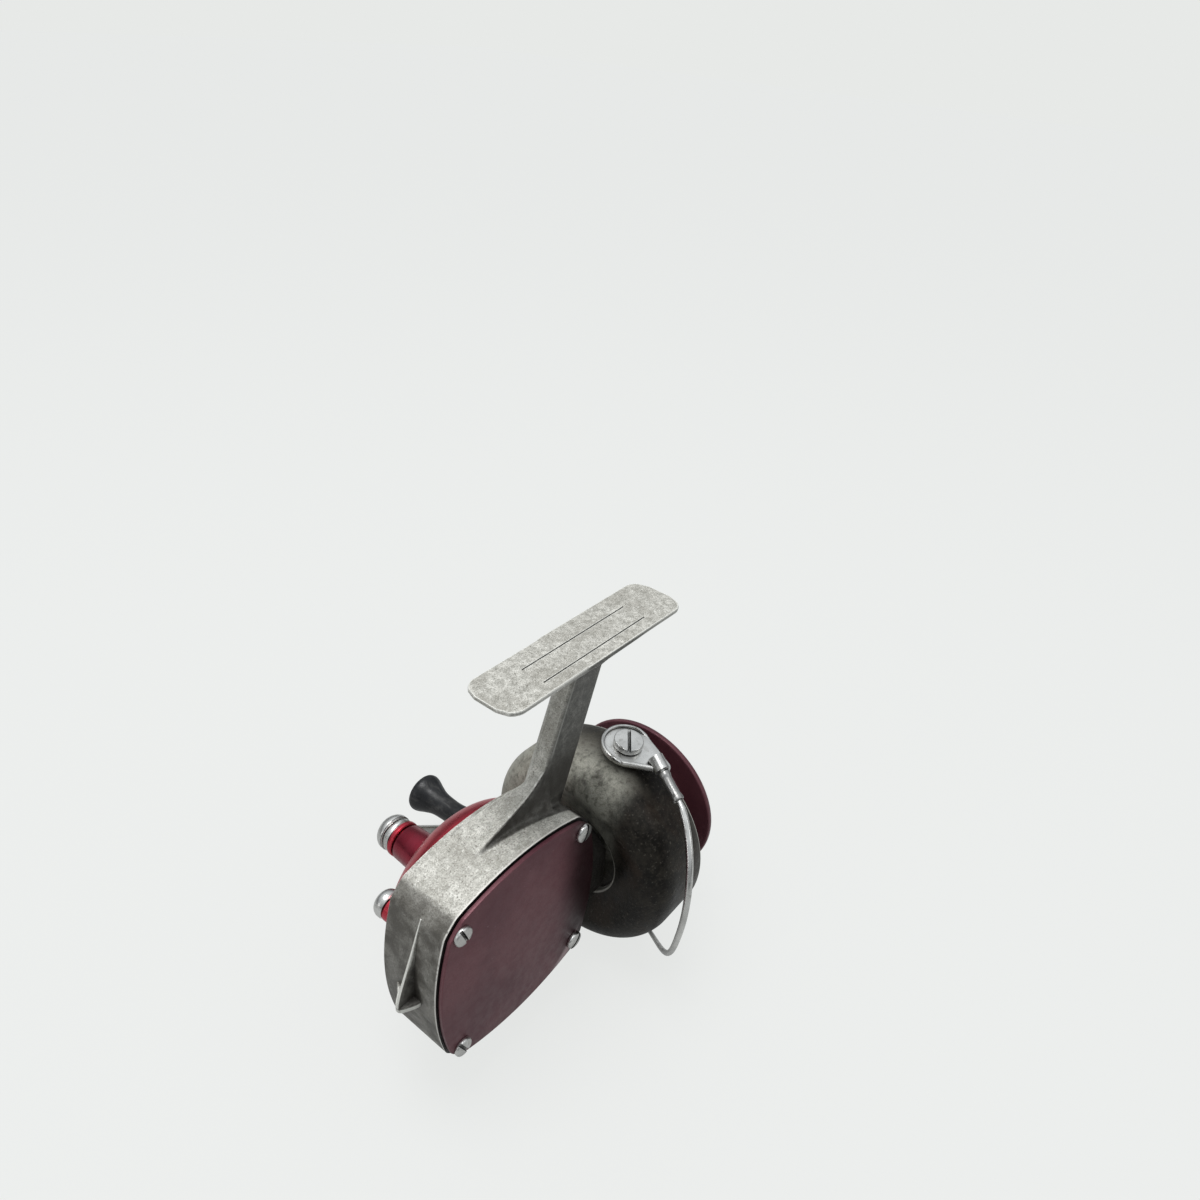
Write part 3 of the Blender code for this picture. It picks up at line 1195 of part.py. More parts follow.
def main_shaft():
    shaft = solid_profile(MAIN_SHAFT, SHAFT_REAR, SHAFT_FRONT, GAP)
    turned("main_shaft", STEEL, shaft, SHAFT, turn=ALONG_X, steps=COARSE_STEPS)
    outline = rounded([
        (-CROSSHEAD_HALF_WIDTH, CROSSHEAD_LOW), (CROSSHEAD_HALF_WIDTH, CROSSHEAD_LOW),
        (CROSSHEAD_HALF_WIDTH, CROSSHEAD_HIGH), (-CROSSHEAD_HALF_WIDTH, CROSSHEAD_HIGH),
    ], CROSSHEAD_HALF_WIDTH / 2)
    groove = CRANK_PIN + GAP
    slot = arc((0, CROSSHEAD_SLOT_LOW + groove), groove, math.pi, 2 * math.pi, 8)
    slot += arc((0, CROSSHEAD_SLOT_HIGH - groove), groove, 0.0, math.pi, 8)
    depth = CROSSHEAD_FACE - CROSSHEAD_BACK
    middle = (SPOOL_FORWARD, CROSSHEAD_BACK + depth / 2, 0)
    body = plate("crosshead", BRASS, [outline], depth, SHAFT, middle, FACING_PLATE_SIDE)
    half_clamp = CROSSHEAD_HALF_WIDTH - GAP
    clamp = turned(
        "crosshead_clamp", BRASS, solid_profile(CROSSHEAD_CLAMP, -half_clamp, half_clamp),
        SHAFT, (SPOOL_FORWARD, 0, 0), ALONG_X, COARSE_STEPS,
    )
    join(body, clamp)
    groove_depth = CROSSHEAD_FACE - CROSSHEAD_BACK
    cut(body, plate(
        "crosshead_slot", BRASS, [slot], groove_depth,
        SHAFT, (SPOOL_FORWARD, CROSSHEAD_FACE, 0), FACING_PLATE_SIDE,
    ))
    bore_length = CROSSHEAD_HALF_WIDTH + OVERRUN
    cut(body, turned(
        "crosshead_bore", BRASS, solid_profile(MAIN_SHAFT + GAP, -bore_length, bore_length),
        SHAFT, (SPOOL_FORWARD, 0, 0), ALONG_X, MIDDLE_STEPS,
    ))
    seat = CROSSHEAD_CLAMP + GAP
    thread = solid_profile(CROSSHEAD_SCREW + GAP, MAIN_SHAFT, CROSSHEAD_CLAMP + OVERRUN)
    cut(body, turned(
        "clamp_thread", BRASS, thread, SHAFT, (SPOOL_FORWARD, 0, 0), FACING_PLATE_SIDE, SCREW_STEPS + 2,
    ))
    reach = seat - MAIN_SHAFT - GAP
    slotted_screw(
        "crosshead_screw", STEEL, CROSSHEAD_SCREW_HEAD, CROSSHEAD_SCREW_HEAD / 2, CROSSHEAD_SCREW, reach,
        SLOT_WIDTH, False, SHAFT, (SPOOL_FORWARD, -seat, 0), FACING_PLATE_SIDE,
    )


def spool():
    bore = MAIN_SHAFT + GAP
    rear_edge = SPOOL_REAR + SPOOL_FLANGE_WIDTH
    front_back = SPOOL_FRONT - SPOOL_FRONT_WIDTH
    profile = [
        (SPOOL_FRONT_FLANGE - GAP, SPOOL_FRONT),
        (SPOOL_FRONT_FLANGE, SPOOL_FRONT - SPOOL_FRONT_WIDTH / 2),
        (SPOOL_FRONT_FLANGE, front_back),
        (SPOOL_ARBOR, front_back - GAP),
        (SPOOL_ARBOR, rear_edge + GAP),
        (SPOOL_REAR_FLANGE, rear_edge),
        (SPOOL_REAR_FLANGE, SPOOL_REAR),
        (SPOOL_CAVITY, SPOOL_REAR),
        (SPOOL_CAVITY, SPOOL_WEB_REAR),
        (bore, SPOOL_WEB_REAR),
        (bore, SPOOL_WEB_FRONT),
        (DRAG_RECESS, SPOOL_WEB_FRONT),
        (DRAG_RECESS, SPOOL_FRONT),
    ]
    body = turned("spool", MAROON, profile, SPOOL, turn=ALONG_X, steps=FINE_STEPS)
    post = solid_profile(CLICK_POST, CLICK_GEAR_START - GAP * 2, SPOOL_WEB_REAR + GAP)
    join(body, turned("click_post", MAROON, post, SPOOL, (0, 0, -CLICK_PAWL_PIVOT), ALONG_X, COARSE_STEPS))


def drag_stack():
    start = SPOOL_WEB_FRONT + GAP
    pitch = WASHER_WIDTH + GAP
    stack = (
        ("drag_washer_inner", FIBRE, SPOOL, 0),
        ("drag_plate_keyed", STEEL, SHAFT, 1),
        ("drag_washer_outer", FIBRE, SPOOL, 2),
        ("drag_plate_front", STEEL, SHAFT, 3),
    )
    for name, look, frame, level in stack:
        low = start + pitch * level
        ring = tube_profile(WASHER_RADIUS, MAIN_SHAFT + GAP, low, low + WASHER_WIDTH)
        turned(name, look, ring, frame, turn=ALONG_X, steps=MIDDLE_STEPS)
    spring_low = start + pitch * len(stack) + DRAG_SPRING_WIRE
    spring_high = DRAG_KNOB_FLOOR - DRAG_SPRING_WIRE - GAP
    count = DRAG_SPRING_TURNS * 12
    path = []
    for index in range(count + 1):
        turn = 2 * math.pi * DRAG_SPRING_TURNS * index / count
        along = spring_low + (spring_high - spring_low) * index / count
        path.append((along, DRAG_SPRING_RADIUS * math.cos(turn), DRAG_SPRING_RADIUS * math.sin(turn)))
    round_wire("drag_spring", STEEL, path, [DRAG_SPRING_WIRE] * len(path), SHAFT, 1)
    pitch_mm = (spring_high - spring_low) / DRAG_SPRING_TURNS
    print("drag spring gap between turns, mm:", (pitch_mm - 2 * DRAG_SPRING_WIRE) / MM)


def drag_knob():
    thread = MAIN_SHAFT + GAP
    rounding = DRAG_KNOB_GRIP_DEPTH
    profile = [
        (0.0, DRAG_KNOB_END),
        (DRAG_KNOB - rounding * 2, DRAG_KNOB_END),
        (DRAG_KNOB, DRAG_KNOB_END - rounding),
        (DRAG_KNOB, DRAG_KNOB_START),
        (DRAG_KNOB_CAVITY, DRAG_KNOB_START),
        (DRAG_KNOB_CAVITY, DRAG_KNOB_FLOOR),
        (thread, DRAG_KNOB_FLOOR),
        (thread, SHAFT_FRONT + GAP),
        (0.0, SHAFT_FRONT + GAP),
    ]
    knob = turned("drag_knob", BLACK, profile, DRAG, turn=ALONG_X, steps=DRAG_KNOB_LOBES * 2)
    for number in range(DRAG_KNOB_LOBES):
        angle = 2 * math.pi * number / DRAG_KNOB_LOBES
        spot = (0, DRAG_KNOB * math.cos(angle), DRAG_KNOB * math.sin(angle))
        groove = solid_profile(DRAG_KNOB_GRIP_DEPTH, DRAG_KNOB_START - OVERRUN, DRAG_KNOB_END + OVERRUN)
        cut(knob, turned(f"grip_{number}", BLACK, groove, DRAG, spot, ALONG_X, 12))


def click_parts():
    middle = (CLICK_GEAR_START + CLICK_GEAR_WIDTH / 2, 0, 0)
    teeth = lobed(CLICK_GEAR_TIP, CLICK_GEAR_ROOT, CLICK_TEETH)
    bore = arc((0, 0), MAIN_SHAFT + GAP, 0.0, 2 * math.pi * 15 / 16, 15)
    plate("click_gear", STEEL, [teeth, bore], CLICK_GEAR_WIDTH, SHAFT, middle, UPWARD_PLATE)
    tip = (0, CLICK_PAWL_PIVOT - CLICK_GEAR_TIP - GAP * 2)
    outline = link_outline((0, 0), CLICK_PAWL_HUB, (0, tip[1] - PAWL_TIP), PAWL_TIP, 8)
    hole = arc((0, 0), CLICK_POST + GAP, 0.0, 2 * math.pi * 11 / 12, 11)
    plate("click_pawl", BRASS, [outline, hole], CLICK_GEAR_WIDTH, CLICKER, (0, 0, 0), UPWARD_PLATE)


def anti_reverse_switch():
    head = SWITCH_HEAD
    top = SWITCH_HEAD_START + SWITCH_HEAD_RISE
    crown = [
        (head * math.sin(share * math.pi / 2), top - SWITCH_CROWN * (1 - math.cos(share * math.pi / 2)))
        for share in SWITCH_CROWN_SHARES
    ]
    pawl_top = RATCHET_START + PAWL_THICKNESS + GAP
    profile = crown + [
        (head, SWITCH_HEAD_START + SWITCH_EDGE),
        (head - GAP, SWITCH_HEAD_START),
        (SWITCH_SHAFT, SWITCH_HEAD_START),
        (SWITCH_SHAFT, RATCHET_START - GAP),
        (0.0, RATCHET_START - GAP),
    ]
    turned("anti_reverse_knob", CHROME, profile, SWITCH, turn=ALONG_Y, steps=MIDDLE_STEPS)
    toward_crank = math.atan2(-SWITCH_ABOVE_CRANK, SWITCH_BACK)
    lean = toward_crank - PAWL_REST
    reach = PAWL_REACH - PAWL_TIP
    tip = (reach * math.cos(lean), reach * math.sin(lean))
    outline = link_outline((0, 0), PAWL_HUB, tip, PAWL_TIP, 8)
    hole = arc((0, 0), SWITCH_SHAFT + GAP, 0.0, 2 * math.pi * 15 / 16, 15)
    middle = (0, pawl_top - GAP - PAWL_THICKNESS / 2, 0)
    plate("anti_reverse_pawl", STEEL, [outline, hole], PAWL_THICKNESS, SWITCH, middle, FACING_PLATE_SIDE)


clear_scene()
PARTS = collection("spinning_reel")
CUTTERS = collection("cutters")

CASTING = finish("light grey cast metal", (0.56, 0.55, 0.52), 0.5, 0.6)
MAROON = finish("maroon anodised metal", (0.09, 0.03, 0.04), 0.4, 0.4)
CRIMSON = finish("crimson anodised metal", (0.42, 0.03, 0.05), 0.3, 0.7)
DARK_METAL = finish("tarnished dark metal", (0.17, 0.16, 0.14), 0.5, 0.6)
CHROME = finish("nickel plate", (0.72, 0.71, 0.69), 0.2, 1.0)
DULL_NICKEL = finish("dull nickel", (0.35, 0.35, 0.35), 0.4, 1.0)
STEEL = finish("steel", (0.5, 0.5, 0.5), 0.35, 1.0)
BRASS = finish("brass", (0.6, 0.45, 0.18), 0.35, 1.0)
BLACK = finish("black plastic", (0.02, 0.02, 0.022), 0.35, 0.0)
FIBRE = finish("drag fibre", (0.25, 0.2, 0.14), 0.8, 0.0)

# Local X up, local Y to the plate side, local Z forward
ROTOR_TURN = Matrix(((0, 0, 1), (0, -1, 0), (1, 0, 0))).to_euler()
UPWARD_PLATE = Matrix(((0, 0, 1), (1, 0, 0), (0, 1, 0))).to_euler()

GEARBOX = axis_frame("gearbox", (-FOOT_AHEAD, 0, -SEAT_HEIGHT))
CRANK = axis_frame("crank_axis", (0, 0, CRANK_ABOVE_SHAFT), GEARBOX)
ARM_END = (ARM_LENGTH * math.cos(ARM_SLOPE), 0, -ARM_LENGTH * math.sin(ARM_SLOPE))
KNOB = axis_frame("knob_axis", ARM_END, CRANK)
SWITCH = axis_frame("switch_axis", (-SWITCH_BACK, 0, CRANK_ABOVE_SHAFT + SWITCH_ABOVE_CRANK), GEARBOX)
PINION_MESH = axis_frame("pinion_axis", (0, 0, 0), GEARBOX, ROTOR_TURN)
TILT = axis_frame("rotor_tilt", (0, 0, 0), GEARBOX, (ROTOR_TILT, 0, 0))
ROTOR = axis_frame("rotor_axis", (0, 0, 0), TILT, ROTOR_TURN)
BAIL = axis_frame("bail_axis", (0, 0, PIVOT_FORWARD), ROTOR)
SHAFT = axis_frame("shaft_axis", (0, 0, 0), GEARBOX)
SPOOL = axis_frame("spool_axis", (0, 0, 0), SHAFT)
DRAG = axis_frame("drag_axis", (0, 0, 0), SHAFT)
CLICKER = axis_frame("click_axis", (CLICK_GEAR_START + CLICK_GEAR_WIDTH / 2, 0, -CLICK_PAWL_PIVOT), SPOOL)

casting()
side_plate()
handle_side_cover()
crank_bush()
crank_shaft()
drive_gear()
ratchet_wheel()
handle()
handle_knob()
pinion()
rotor_bearings()
rotor_cup()
wire_end = bail_wire()
roller_direction, roller_length = bail_arms(wire_end)
bail_screws()
line_roller(roller_direction, roller_length)
main_shaft()
spool()
drag_stack()
drag_knob()
click_parts()
anti_reverse_switch()
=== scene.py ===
"""The looks of the spinning reel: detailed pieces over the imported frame, finishes, light and camera.

Every piece is made in place, in metres, in the frame's own directions: +X runs forward along the
rod, +Y to the handle side and +Z up to the foot's flat top.
"""

import math

import bmesh
import bpy
from mathutils import Euler, Matrix, Vector

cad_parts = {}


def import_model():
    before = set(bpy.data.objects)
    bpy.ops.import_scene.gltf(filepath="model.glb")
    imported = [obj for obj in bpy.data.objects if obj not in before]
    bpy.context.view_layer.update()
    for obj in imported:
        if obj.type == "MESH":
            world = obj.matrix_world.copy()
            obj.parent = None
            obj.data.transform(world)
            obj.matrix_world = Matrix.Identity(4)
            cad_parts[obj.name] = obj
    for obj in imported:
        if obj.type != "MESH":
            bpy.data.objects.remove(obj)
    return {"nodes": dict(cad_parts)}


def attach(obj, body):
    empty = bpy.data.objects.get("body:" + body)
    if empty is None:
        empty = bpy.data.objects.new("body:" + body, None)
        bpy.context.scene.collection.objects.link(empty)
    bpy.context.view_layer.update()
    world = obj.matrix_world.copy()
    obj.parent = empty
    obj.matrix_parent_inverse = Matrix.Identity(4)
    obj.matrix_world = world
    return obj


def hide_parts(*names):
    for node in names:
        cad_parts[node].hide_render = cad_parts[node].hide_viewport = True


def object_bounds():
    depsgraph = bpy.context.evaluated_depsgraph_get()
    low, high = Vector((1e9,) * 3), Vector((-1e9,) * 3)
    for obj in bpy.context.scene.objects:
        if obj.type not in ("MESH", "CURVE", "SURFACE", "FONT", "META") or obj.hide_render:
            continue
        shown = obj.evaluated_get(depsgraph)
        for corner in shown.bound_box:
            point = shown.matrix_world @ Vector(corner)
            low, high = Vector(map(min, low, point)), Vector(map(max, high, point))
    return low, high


MM = 0.001

# Camera, at the photograph's place
LENS = 28.47
SENSOR = 36.0
CAMERA_PLACE = (-0.15123, -0.11426, 0.13093)
CAMERA_AXES = (
    (0.623776, -0.777782, 0.077196),
    (0.374191, 0.383884, 0.844165),
    (-0.686211, -0.497683, 0.530496),
)

# The same places as the solids
SEAT_HEIGHT = 75.7 * MM
FOOT_AHEAD = 29.0 * MM
CRANK_ABOVE_SHAFT = 6.0 * MM
ARM_LENGTH = 41.9 * MM
ARM_SLOPE = math.radians(36.5)
SWITCH_BACK = 18.5 * MM
SWITCH_HEIGHT = 8.0 * MM
ROTOR_TILT = math.radians(8.0)
PIVOT_FORWARD = 48.0 * MM

# Casting
HOUSING_CENTRE_X = -1.7 * MM
HOUSING_HALF_LENGTH = 24.3 * MM
HOUSING_HALF_HEIGHT = 24.2 * MM
HOUSING_BULGE_X = 4.0 * MM
HOUSING_BULGE_Z = 4.7 * MM
HOUSING_CORNER_SHARE = 0.055
HOUSING_WALL = 2.2 * MM
PLATE_FACE = -11.0 * MM
COVER_FACE = 7.0 * MM
TRIM_ROOM = 1.5 * MM
VOXEL = 0.34 * MM
SMOOTH_ROUNDS = 3

GEARBOX = Matrix.Translation((-FOOT_AHEAD, 0.0, -SEAT_HEIGHT))
CRANK = GEARBOX @ Matrix.Translation((0.0, 0.0, CRANK_ABOVE_SHAFT))
ALONG_X = Euler((0.0, math.pi / 2, 0.0)).to_matrix().to_4x4()
ALONG_Y = Euler((-math.pi / 2, 0.0, 0.0)).to_matrix().to_4x4()
TO_PLATE_SIDE = Euler((math.pi / 2, 0.0, 0.0)).to_matrix().to_4x4()
ROTOR_TURN = Matrix(((0, 0, 1), (0, -1, 0), (1, 0, 0))).to_4x4()
TILT = GEARBOX @ Matrix.Rotation(ROTOR_TILT, 4, "X")
ROTOR = TILT @ ROTOR_TURN
BAIL = ROTOR @ Matrix.Translation((0.0, 0.0, PIVOT_FORWARD))
UPWARD_PLATE = Matrix(((0, 0, 1), (1, 0, 0), (0, 1, 0))).to_4x4()
NEAR_PIVOT = BAIL @ Matrix.Rotation(math.pi / 2, 4, "Y")
FAR_PIVOT = BAIL @ Matrix.Rotation(-math.pi / 2, 4, "Y")
KNOB_OFFSET = (ARM_LENGTH * math.cos(ARM_SLOPE), 0.0, -ARM_LENGTH * math.sin(ARM_SLOPE))
KNOB = CRANK @ Matrix.Translation(KNOB_OFFSET)
SWITCH = GEARBOX @ Matrix.Translation((-SWITCH_BACK, 0.0, SWITCH_HEIGHT))

# Tables in millimetres: (X, Z) of the two crests, (X, Y) of the shelf, (radius, height) of the profiles
GUSSET_CREST = (
    (-11.0, 33.2), (-9.0, 34.7), (-4.0, 36.4), (1.0, 38.0),
    (5.0, 39.4), (9.0, 41.0), (13.0, 44.0), (16.0, 47.0),
)
FIN_CREST = (
    (-26.8, 27.6), (-28.1, 24.0), (-29.6, 19.5), (-31.4, 14.5),
    (-33.6, 8.5), (-34.6, 5.0), (-34.8, 3.4),
)
SHELF_OUTLINE = (
    (-25.0, -6.6), (-31.0, -5.6), (-34.2, -4.0), (-34.9, -3.0),
    (-34.5, -1.8), (-31.5, 0.6), (-28.6, 5.0), (-25.0, 6.4),
)
SPOOL_PROFILE = (
    (24.9, 68.0), (25.2, 67.0), (25.2, 66.0), (17.0, 65.7), (17.0, 52.9), (24.5, 52.6),
    (24.5, 50.0), (14.5, 50.0), (14.5, 61.4), (2.3, 61.4), (2.3, 64.0), (10.0, 64.0),
    (10.0, 68.0), (13.5, 68.0), (14.2, 67.5), (21.6, 67.5), (22.4, 68.0),
)
DRAG_KNOB_PROFILE = (
    (0.0, 80.5), (4.6, 80.5), (5.2, 80.1), (6.0, 80.1), (6.6, 80.5), (7.9, 80.5), (9.3, 79.8), (9.6, 78.9),
    (9.6, 70.0), (9.2, 69.2), (7.0, 69.2), (7.0, 73.5), (2.3, 73.5), (0.0, 73.6),
)
# The knob's (share of the length, radius in millimetres)
KNOB_FLANK = (
    (0.0, 4.25), (0.04, 4.35), (0.12, 4.1), (0.32, 3.68), (0.59, 4.0),
    (0.755, 5.05), (0.863, 6.0), (0.932, 6.36), (0.98, 6.15), (1.0, 5.7),
)
# Head radius, rise, crown, slot width and slot depth in millimetres
PLATE_SCREW = (2.6, 1.5, 0.7, 0.85, 0.95)
PIVOT_SCREW = (4.2, 2.1, 0.22, 1.0, 1.1)
ROLLER_END_ANGLE = 59.0

# The solids that are shown as they are, by finish
KEPT_NODES = {
    "steel": "crank_shaft drive_gear ratchet_wheel bush_retaining_ring rotor_lock_washer bail_spring"
    " main_shaft crosshead_screw click_gear drag_plate_keyed drag_plate_front drag_spring"
    " anti_reverse_pawl",
    "bearing_brass": "crank_bush pinion rear_rotor_bush front_rotor_bush crosshead click_pawl",
    "drag_fibre": "drag_washer_inner drag_washer_outer",
    "nickel_plate": "rotor_nut",
}
LIT_SPOT = (0.0, 0.0, -0.06)


# Finishes


class Finish:
    """A material built node by node over the piece's own coordinates, its lengths in millimetres."""

    def __init__(self, name, metallic, roughness):
        self.material = bpy.data.materials.new(name)
        self.material.use_nodes = True
        self.tree = self.material.node_tree
        self.shader = self.tree.nodes["Principled BSDF"]
        self.shader.inputs["Metallic"].default_value = metallic
        self.shader.inputs["Roughness"].default_value = roughness
        self.place = self.tree.nodes.new("ShaderNodeTexCoord").outputs["Object"]

    def link(self, source, socket):
        self.tree.links.new(source, socket)

    def set(self, name, source):
        self.link(source, self.shader.inputs[name])

    def add(self, kind, **settings):
        node = self.tree.nodes.new(kind)
        for key, value in settings.items():
            setattr(node, key, value)
        return node

    def noise(self, size, detail=3.0, roughness=0.55, warp=0.0, stretch=(1.0, 1.0, 1.0)):
        """Noise whose blotches are about this many millimetres across."""
        shape = self.add("ShaderNodeMapping")
        shape.inputs["Scale"].default_value = stretch
        self.link(self.place, shape.inputs["Vector"])
        node = self.add("ShaderNodeTexNoise")
        node.inputs["Scale"].default_value = 1.0 / (size * MM)
        node.inputs["Detail"].default_value = detail
        node.inputs["Roughness"].default_value = roughness
        node.inputs["Distortion"].default_value = warp
        self.link(shape.outputs["Vector"], node.inputs["Vector"])
        return node.outputs["Fac"]

    def spread(self, source, low, high, start=0.0, end=1.0):
        """The source's low to high, turned into start to end with soft ends."""
        node = self.add("ShaderNodeMapRange", interpolation_type="SMOOTHSTEP")
        for name, value in (("From Min", low), ("From Max", high), ("To Min", start), ("To Max", end)):
            node.inputs[name].default_value = value
        self.link(source, node.inputs["Value"])
        return node.outputs["Result"]

    def math(self, operation, first, second):
        node = self.add("ShaderNodeMath", operation=operation)
        for socket, value in zip(node.inputs, (first, second)):
            if isinstance(value, float):
                socket.default_value = value
            else:
                self.link(value, socket)
        return node.outputs["Value"]

    def mix(self, factor, first, second):
        node = self.add("ShaderNodeMix", data_type="RGBA")
        self.link(factor, node.inputs["Factor"])
        for socket, value in ((node.inputs["A"], first), (node.inputs["B"], second)):
            if isinstance(value, tuple):
                socket.default_value = (*value, 1.0)
            else:
                self.link(value, socket)
        return node.outputs["Result"]

    def along(self, axis, low, high):
        """Zero to one across a stretch of one of the piece's axes."""
        split = self.add("ShaderNodeSeparateXYZ")
        self.link(self.place, split.inputs["Vector"])
        return self.spread(split.outputs[axis], low * MM, high * MM)

    def slanted(self, direction, low, high):
        """Zero to one across a slanting line: the place measured along a direction."""
        node = self.add("ShaderNodeVectorMath", operation="DOT_PRODUCT")
        self.link(self.place, node.inputs[0])
        node.inputs[1].default_value = direction
        return self.spread(node.outputs["Value"], low * MM, high * MM)

    def from_axis(self, centre, scale):
        """Distance from a line through the centre; the scale has a zero for the line's direction."""
        shape = self.add("ShaderNodeMapping")
        shape.inputs["Location"].default_value = [-c * s for c, s in zip(centre, scale)]
        shape.inputs["Scale"].default_value = scale
        self.link(self.place, shape.inputs["Vector"])
        length = self.add("ShaderNodeVectorMath", operation="LENGTH")
        self.link(shape.outputs["Vector"], length.inputs["Vector"])
        return length.outputs["Value"]

    def rings(self, centre, scale, size):
        """Lathe marks round a line: noise that changes only with the distance from it."""
        node = self.add("ShaderNodeTexNoise", noise_dimensions="1D")
        node.inputs["Scale"].default_value = 1.0 / (size * MM)
        node.inputs["Detail"].default_value = 3.0
        self.link(self.from_axis(centre, scale), node.inputs["W"])
        return node.outputs["Fac"]

    def edges(self, low, high):
        """One on the sharp outer edges, from the mesh's own curvature."""
        return self.spread(self.add("ShaderNodeNewGeometry").outputs["Pointiness"], low, high)

    def hollows(self, reach, open_share=0.8, deep_share=0.4):
        """One in the piece's own corners and slots, as deep as the reach."""
        node = self.add("ShaderNodeAmbientOcclusion", samples=6, only_local=True)
        node.inputs["Distance"].default_value = reach * MM
        return self.spread(node.outputs["AO"], open_share, deep_share)

    def facing(self, direction, low, high):
        """Zero to one as the surface turns toward a direction in the piece's own axes."""
        node = self.add("ShaderNodeVectorMath", operation="DOT_PRODUCT")
        self.link(self.add("ShaderNodeTexCoord").outputs["Normal"], node.inputs[0])
        node.inputs[1].default_value = direction
        return self.spread(node.outputs["Value"], low, high)

    def both(self, *masks):
        """Several masks, or a mask and a number, multiplied."""
        whole = masks[0]
        for mask in masks[1:]:
            whole = self.math("MULTIPLY", whole, mask)
        return whole

    def bump(self, *layers):
        """Bumps laid over each other, each a height and its depth."""
        normal = None
        for height, depth in layers:
            node = self.add("ShaderNodeBump")
            node.inputs["Distance"].default_value = depth * MM
            node.inputs["Strength"].default_value = 1.0
            self.link(height, node.inputs["Height"])
            if normal:
                self.link(normal, node.inputs["Normal"])
            normal = node.outputs["Normal"]
        self.set("Normal", normal)


def cast_metal():
    look = Finish("cast_metal", 0.25, 0.5)
    grain = look.noise(0.38, 2.0, 0.75)
    mottle = look.noise(1.9, 5.0, 0.72)
    clouds = look.noise(10.0, 5.0, 0.6, 0.4)
    base = look.mix(look.spread(mottle, 0.34, 0.66), (0.36, 0.35, 0.31), (0.68, 0.665, 0.61))
    clouded = look.mix(look.spread(clouds, 0.34, 0.6, 0.6, 0.0), base, (0.3, 0.285, 0.245))
    grained = look.mix(look.spread(grain, 0.3, 0.56, 0.8, 0.0), clouded, (0.19, 0.18, 0.155))
    flecks = look.spread(look.noise(1.1, 4.0, 0.7), 0.58, 0.7, 0.0, 0.6)
    flecked = look.mix(flecks, grained, (0.8, 0.79, 0.74))
    pits = look.spread(look.noise(0.7, 3.0, 0.6), 0.61, 0.69, 0.0, 0.75)
    pitted = look.mix(pits, flecked, (0.12, 0.11, 0.09))
    sparkle = look.spread(look.noise(0.32, 2.0, 0.6), 0.58, 0.68, 0.0, 0.5)
    glinting = look.mix(sparkle, pitted, (0.85, 0.84, 0.79))
    # Painted shade: faces turned to the plate side, high on the stem, go darker in mottled patches.
    side = look.both(look.facing((0.0, -1.0, 0.0), 0.45, 0.85), look.along("Z", -42.0, -38.0))
    side_shade = look.both(side, look.spread(mottle, 0.3, 0.7, 0.95, 0.7))
    side_shaded = look.mix(side_shade, glinting, (0.062, 0.062, 0.056))
    # Painted shade: faces turned backward, low on the housing, go darker in blotches.
    behind = look.facing((-1.0, 0.0, 0.05), 0.5, 0.82)
    shade_blotches = look.spread(look.noise(6.0, 5.0, 0.62, 0.4), 0.35, 0.62, 0.6, 0.95)
    shaded = look.mix(look.both(behind, shade_blotches, look.along("Z", -40.0, -46.0)), side_shaded, (0.072, 0.065, 0.054))
    # Painted shade: the pocket beside the gusset's web and the hollow beside the fin's root go near black.
    web = look.both(look.along("X", -41.0, -33.0), look.along("Y", -2.8, -3.3))
    level = look.both(look.along("Z", -48.0, -46.0), look.along("Z", -22.0, -34.0))
    pocket = look.both(web, level, look.slanted((0.127, 1.0, 0.0), -9.0, -8.2))
    root = look.both(look.along("X", -53.0, -55.0), look.along("Y", -3.2, -3.5))
    beside_fin = look.both(root, look.along("Z", -73.0, -72.2), look.slanted((0.0, 1.0, -0.2545), 11.5, 12.4))
    both_hollows = look.math("MAXIMUM", pocket, beside_fin)
    hollow_shade = look.both(both_hollows, look.spread(mottle, 0.3, 0.7, 0.98, 0.8))
    shade_darkened = look.mix(hollow_shade, shaded, (0.035, 0.031, 0.025))
    # Painted shade: the housing's front round the bearing boss, between it and the rotor, goes near black.
    front = look.both(look.along("X", -10.0, -7.5), look.along("Z", -40.0, -43.0))
    front_shaded = look.mix(look.both(front, 0.97), shade_darkened, (0.012, 0.01, 0.008))
    # Painted shade: the casting's own corners and slots, found by ambient occlusion, go near black.
    ao_shaded = look.mix(look.both(look.hollows(3.5, 0.82, 0.42), 0.93), front_shaded, (0.022, 0.019, 0.015))
    shut_in = look.spread(look.math("MAXIMUM", both_hollows, front), 0.6, 0.1)
    worn = look.mix(look.both(look.edges(0.511, 0.545), shut_in), ao_shaded, (0.72, 0.71, 0.66))
    rim = look.both(look.along("Y", -10.3, -10.75), look.spread(mottle, 0.3, 0.5), shut_in)
    rubbed = look.mix(rim, worn, (0.72, 0.7, 0.65))
    look.set("Base Color", look.mix(look.along("Y", -10.9, -10.97), rubbed, (0.012, 0.01, 0.009)))
    look.set("Roughness", look.spread(mottle, 0.3, 0.7, 0.38, 0.58))
    look.bump((clouds, 0.25), (mottle, 0.22), (grain, 0.09))
    return look.material


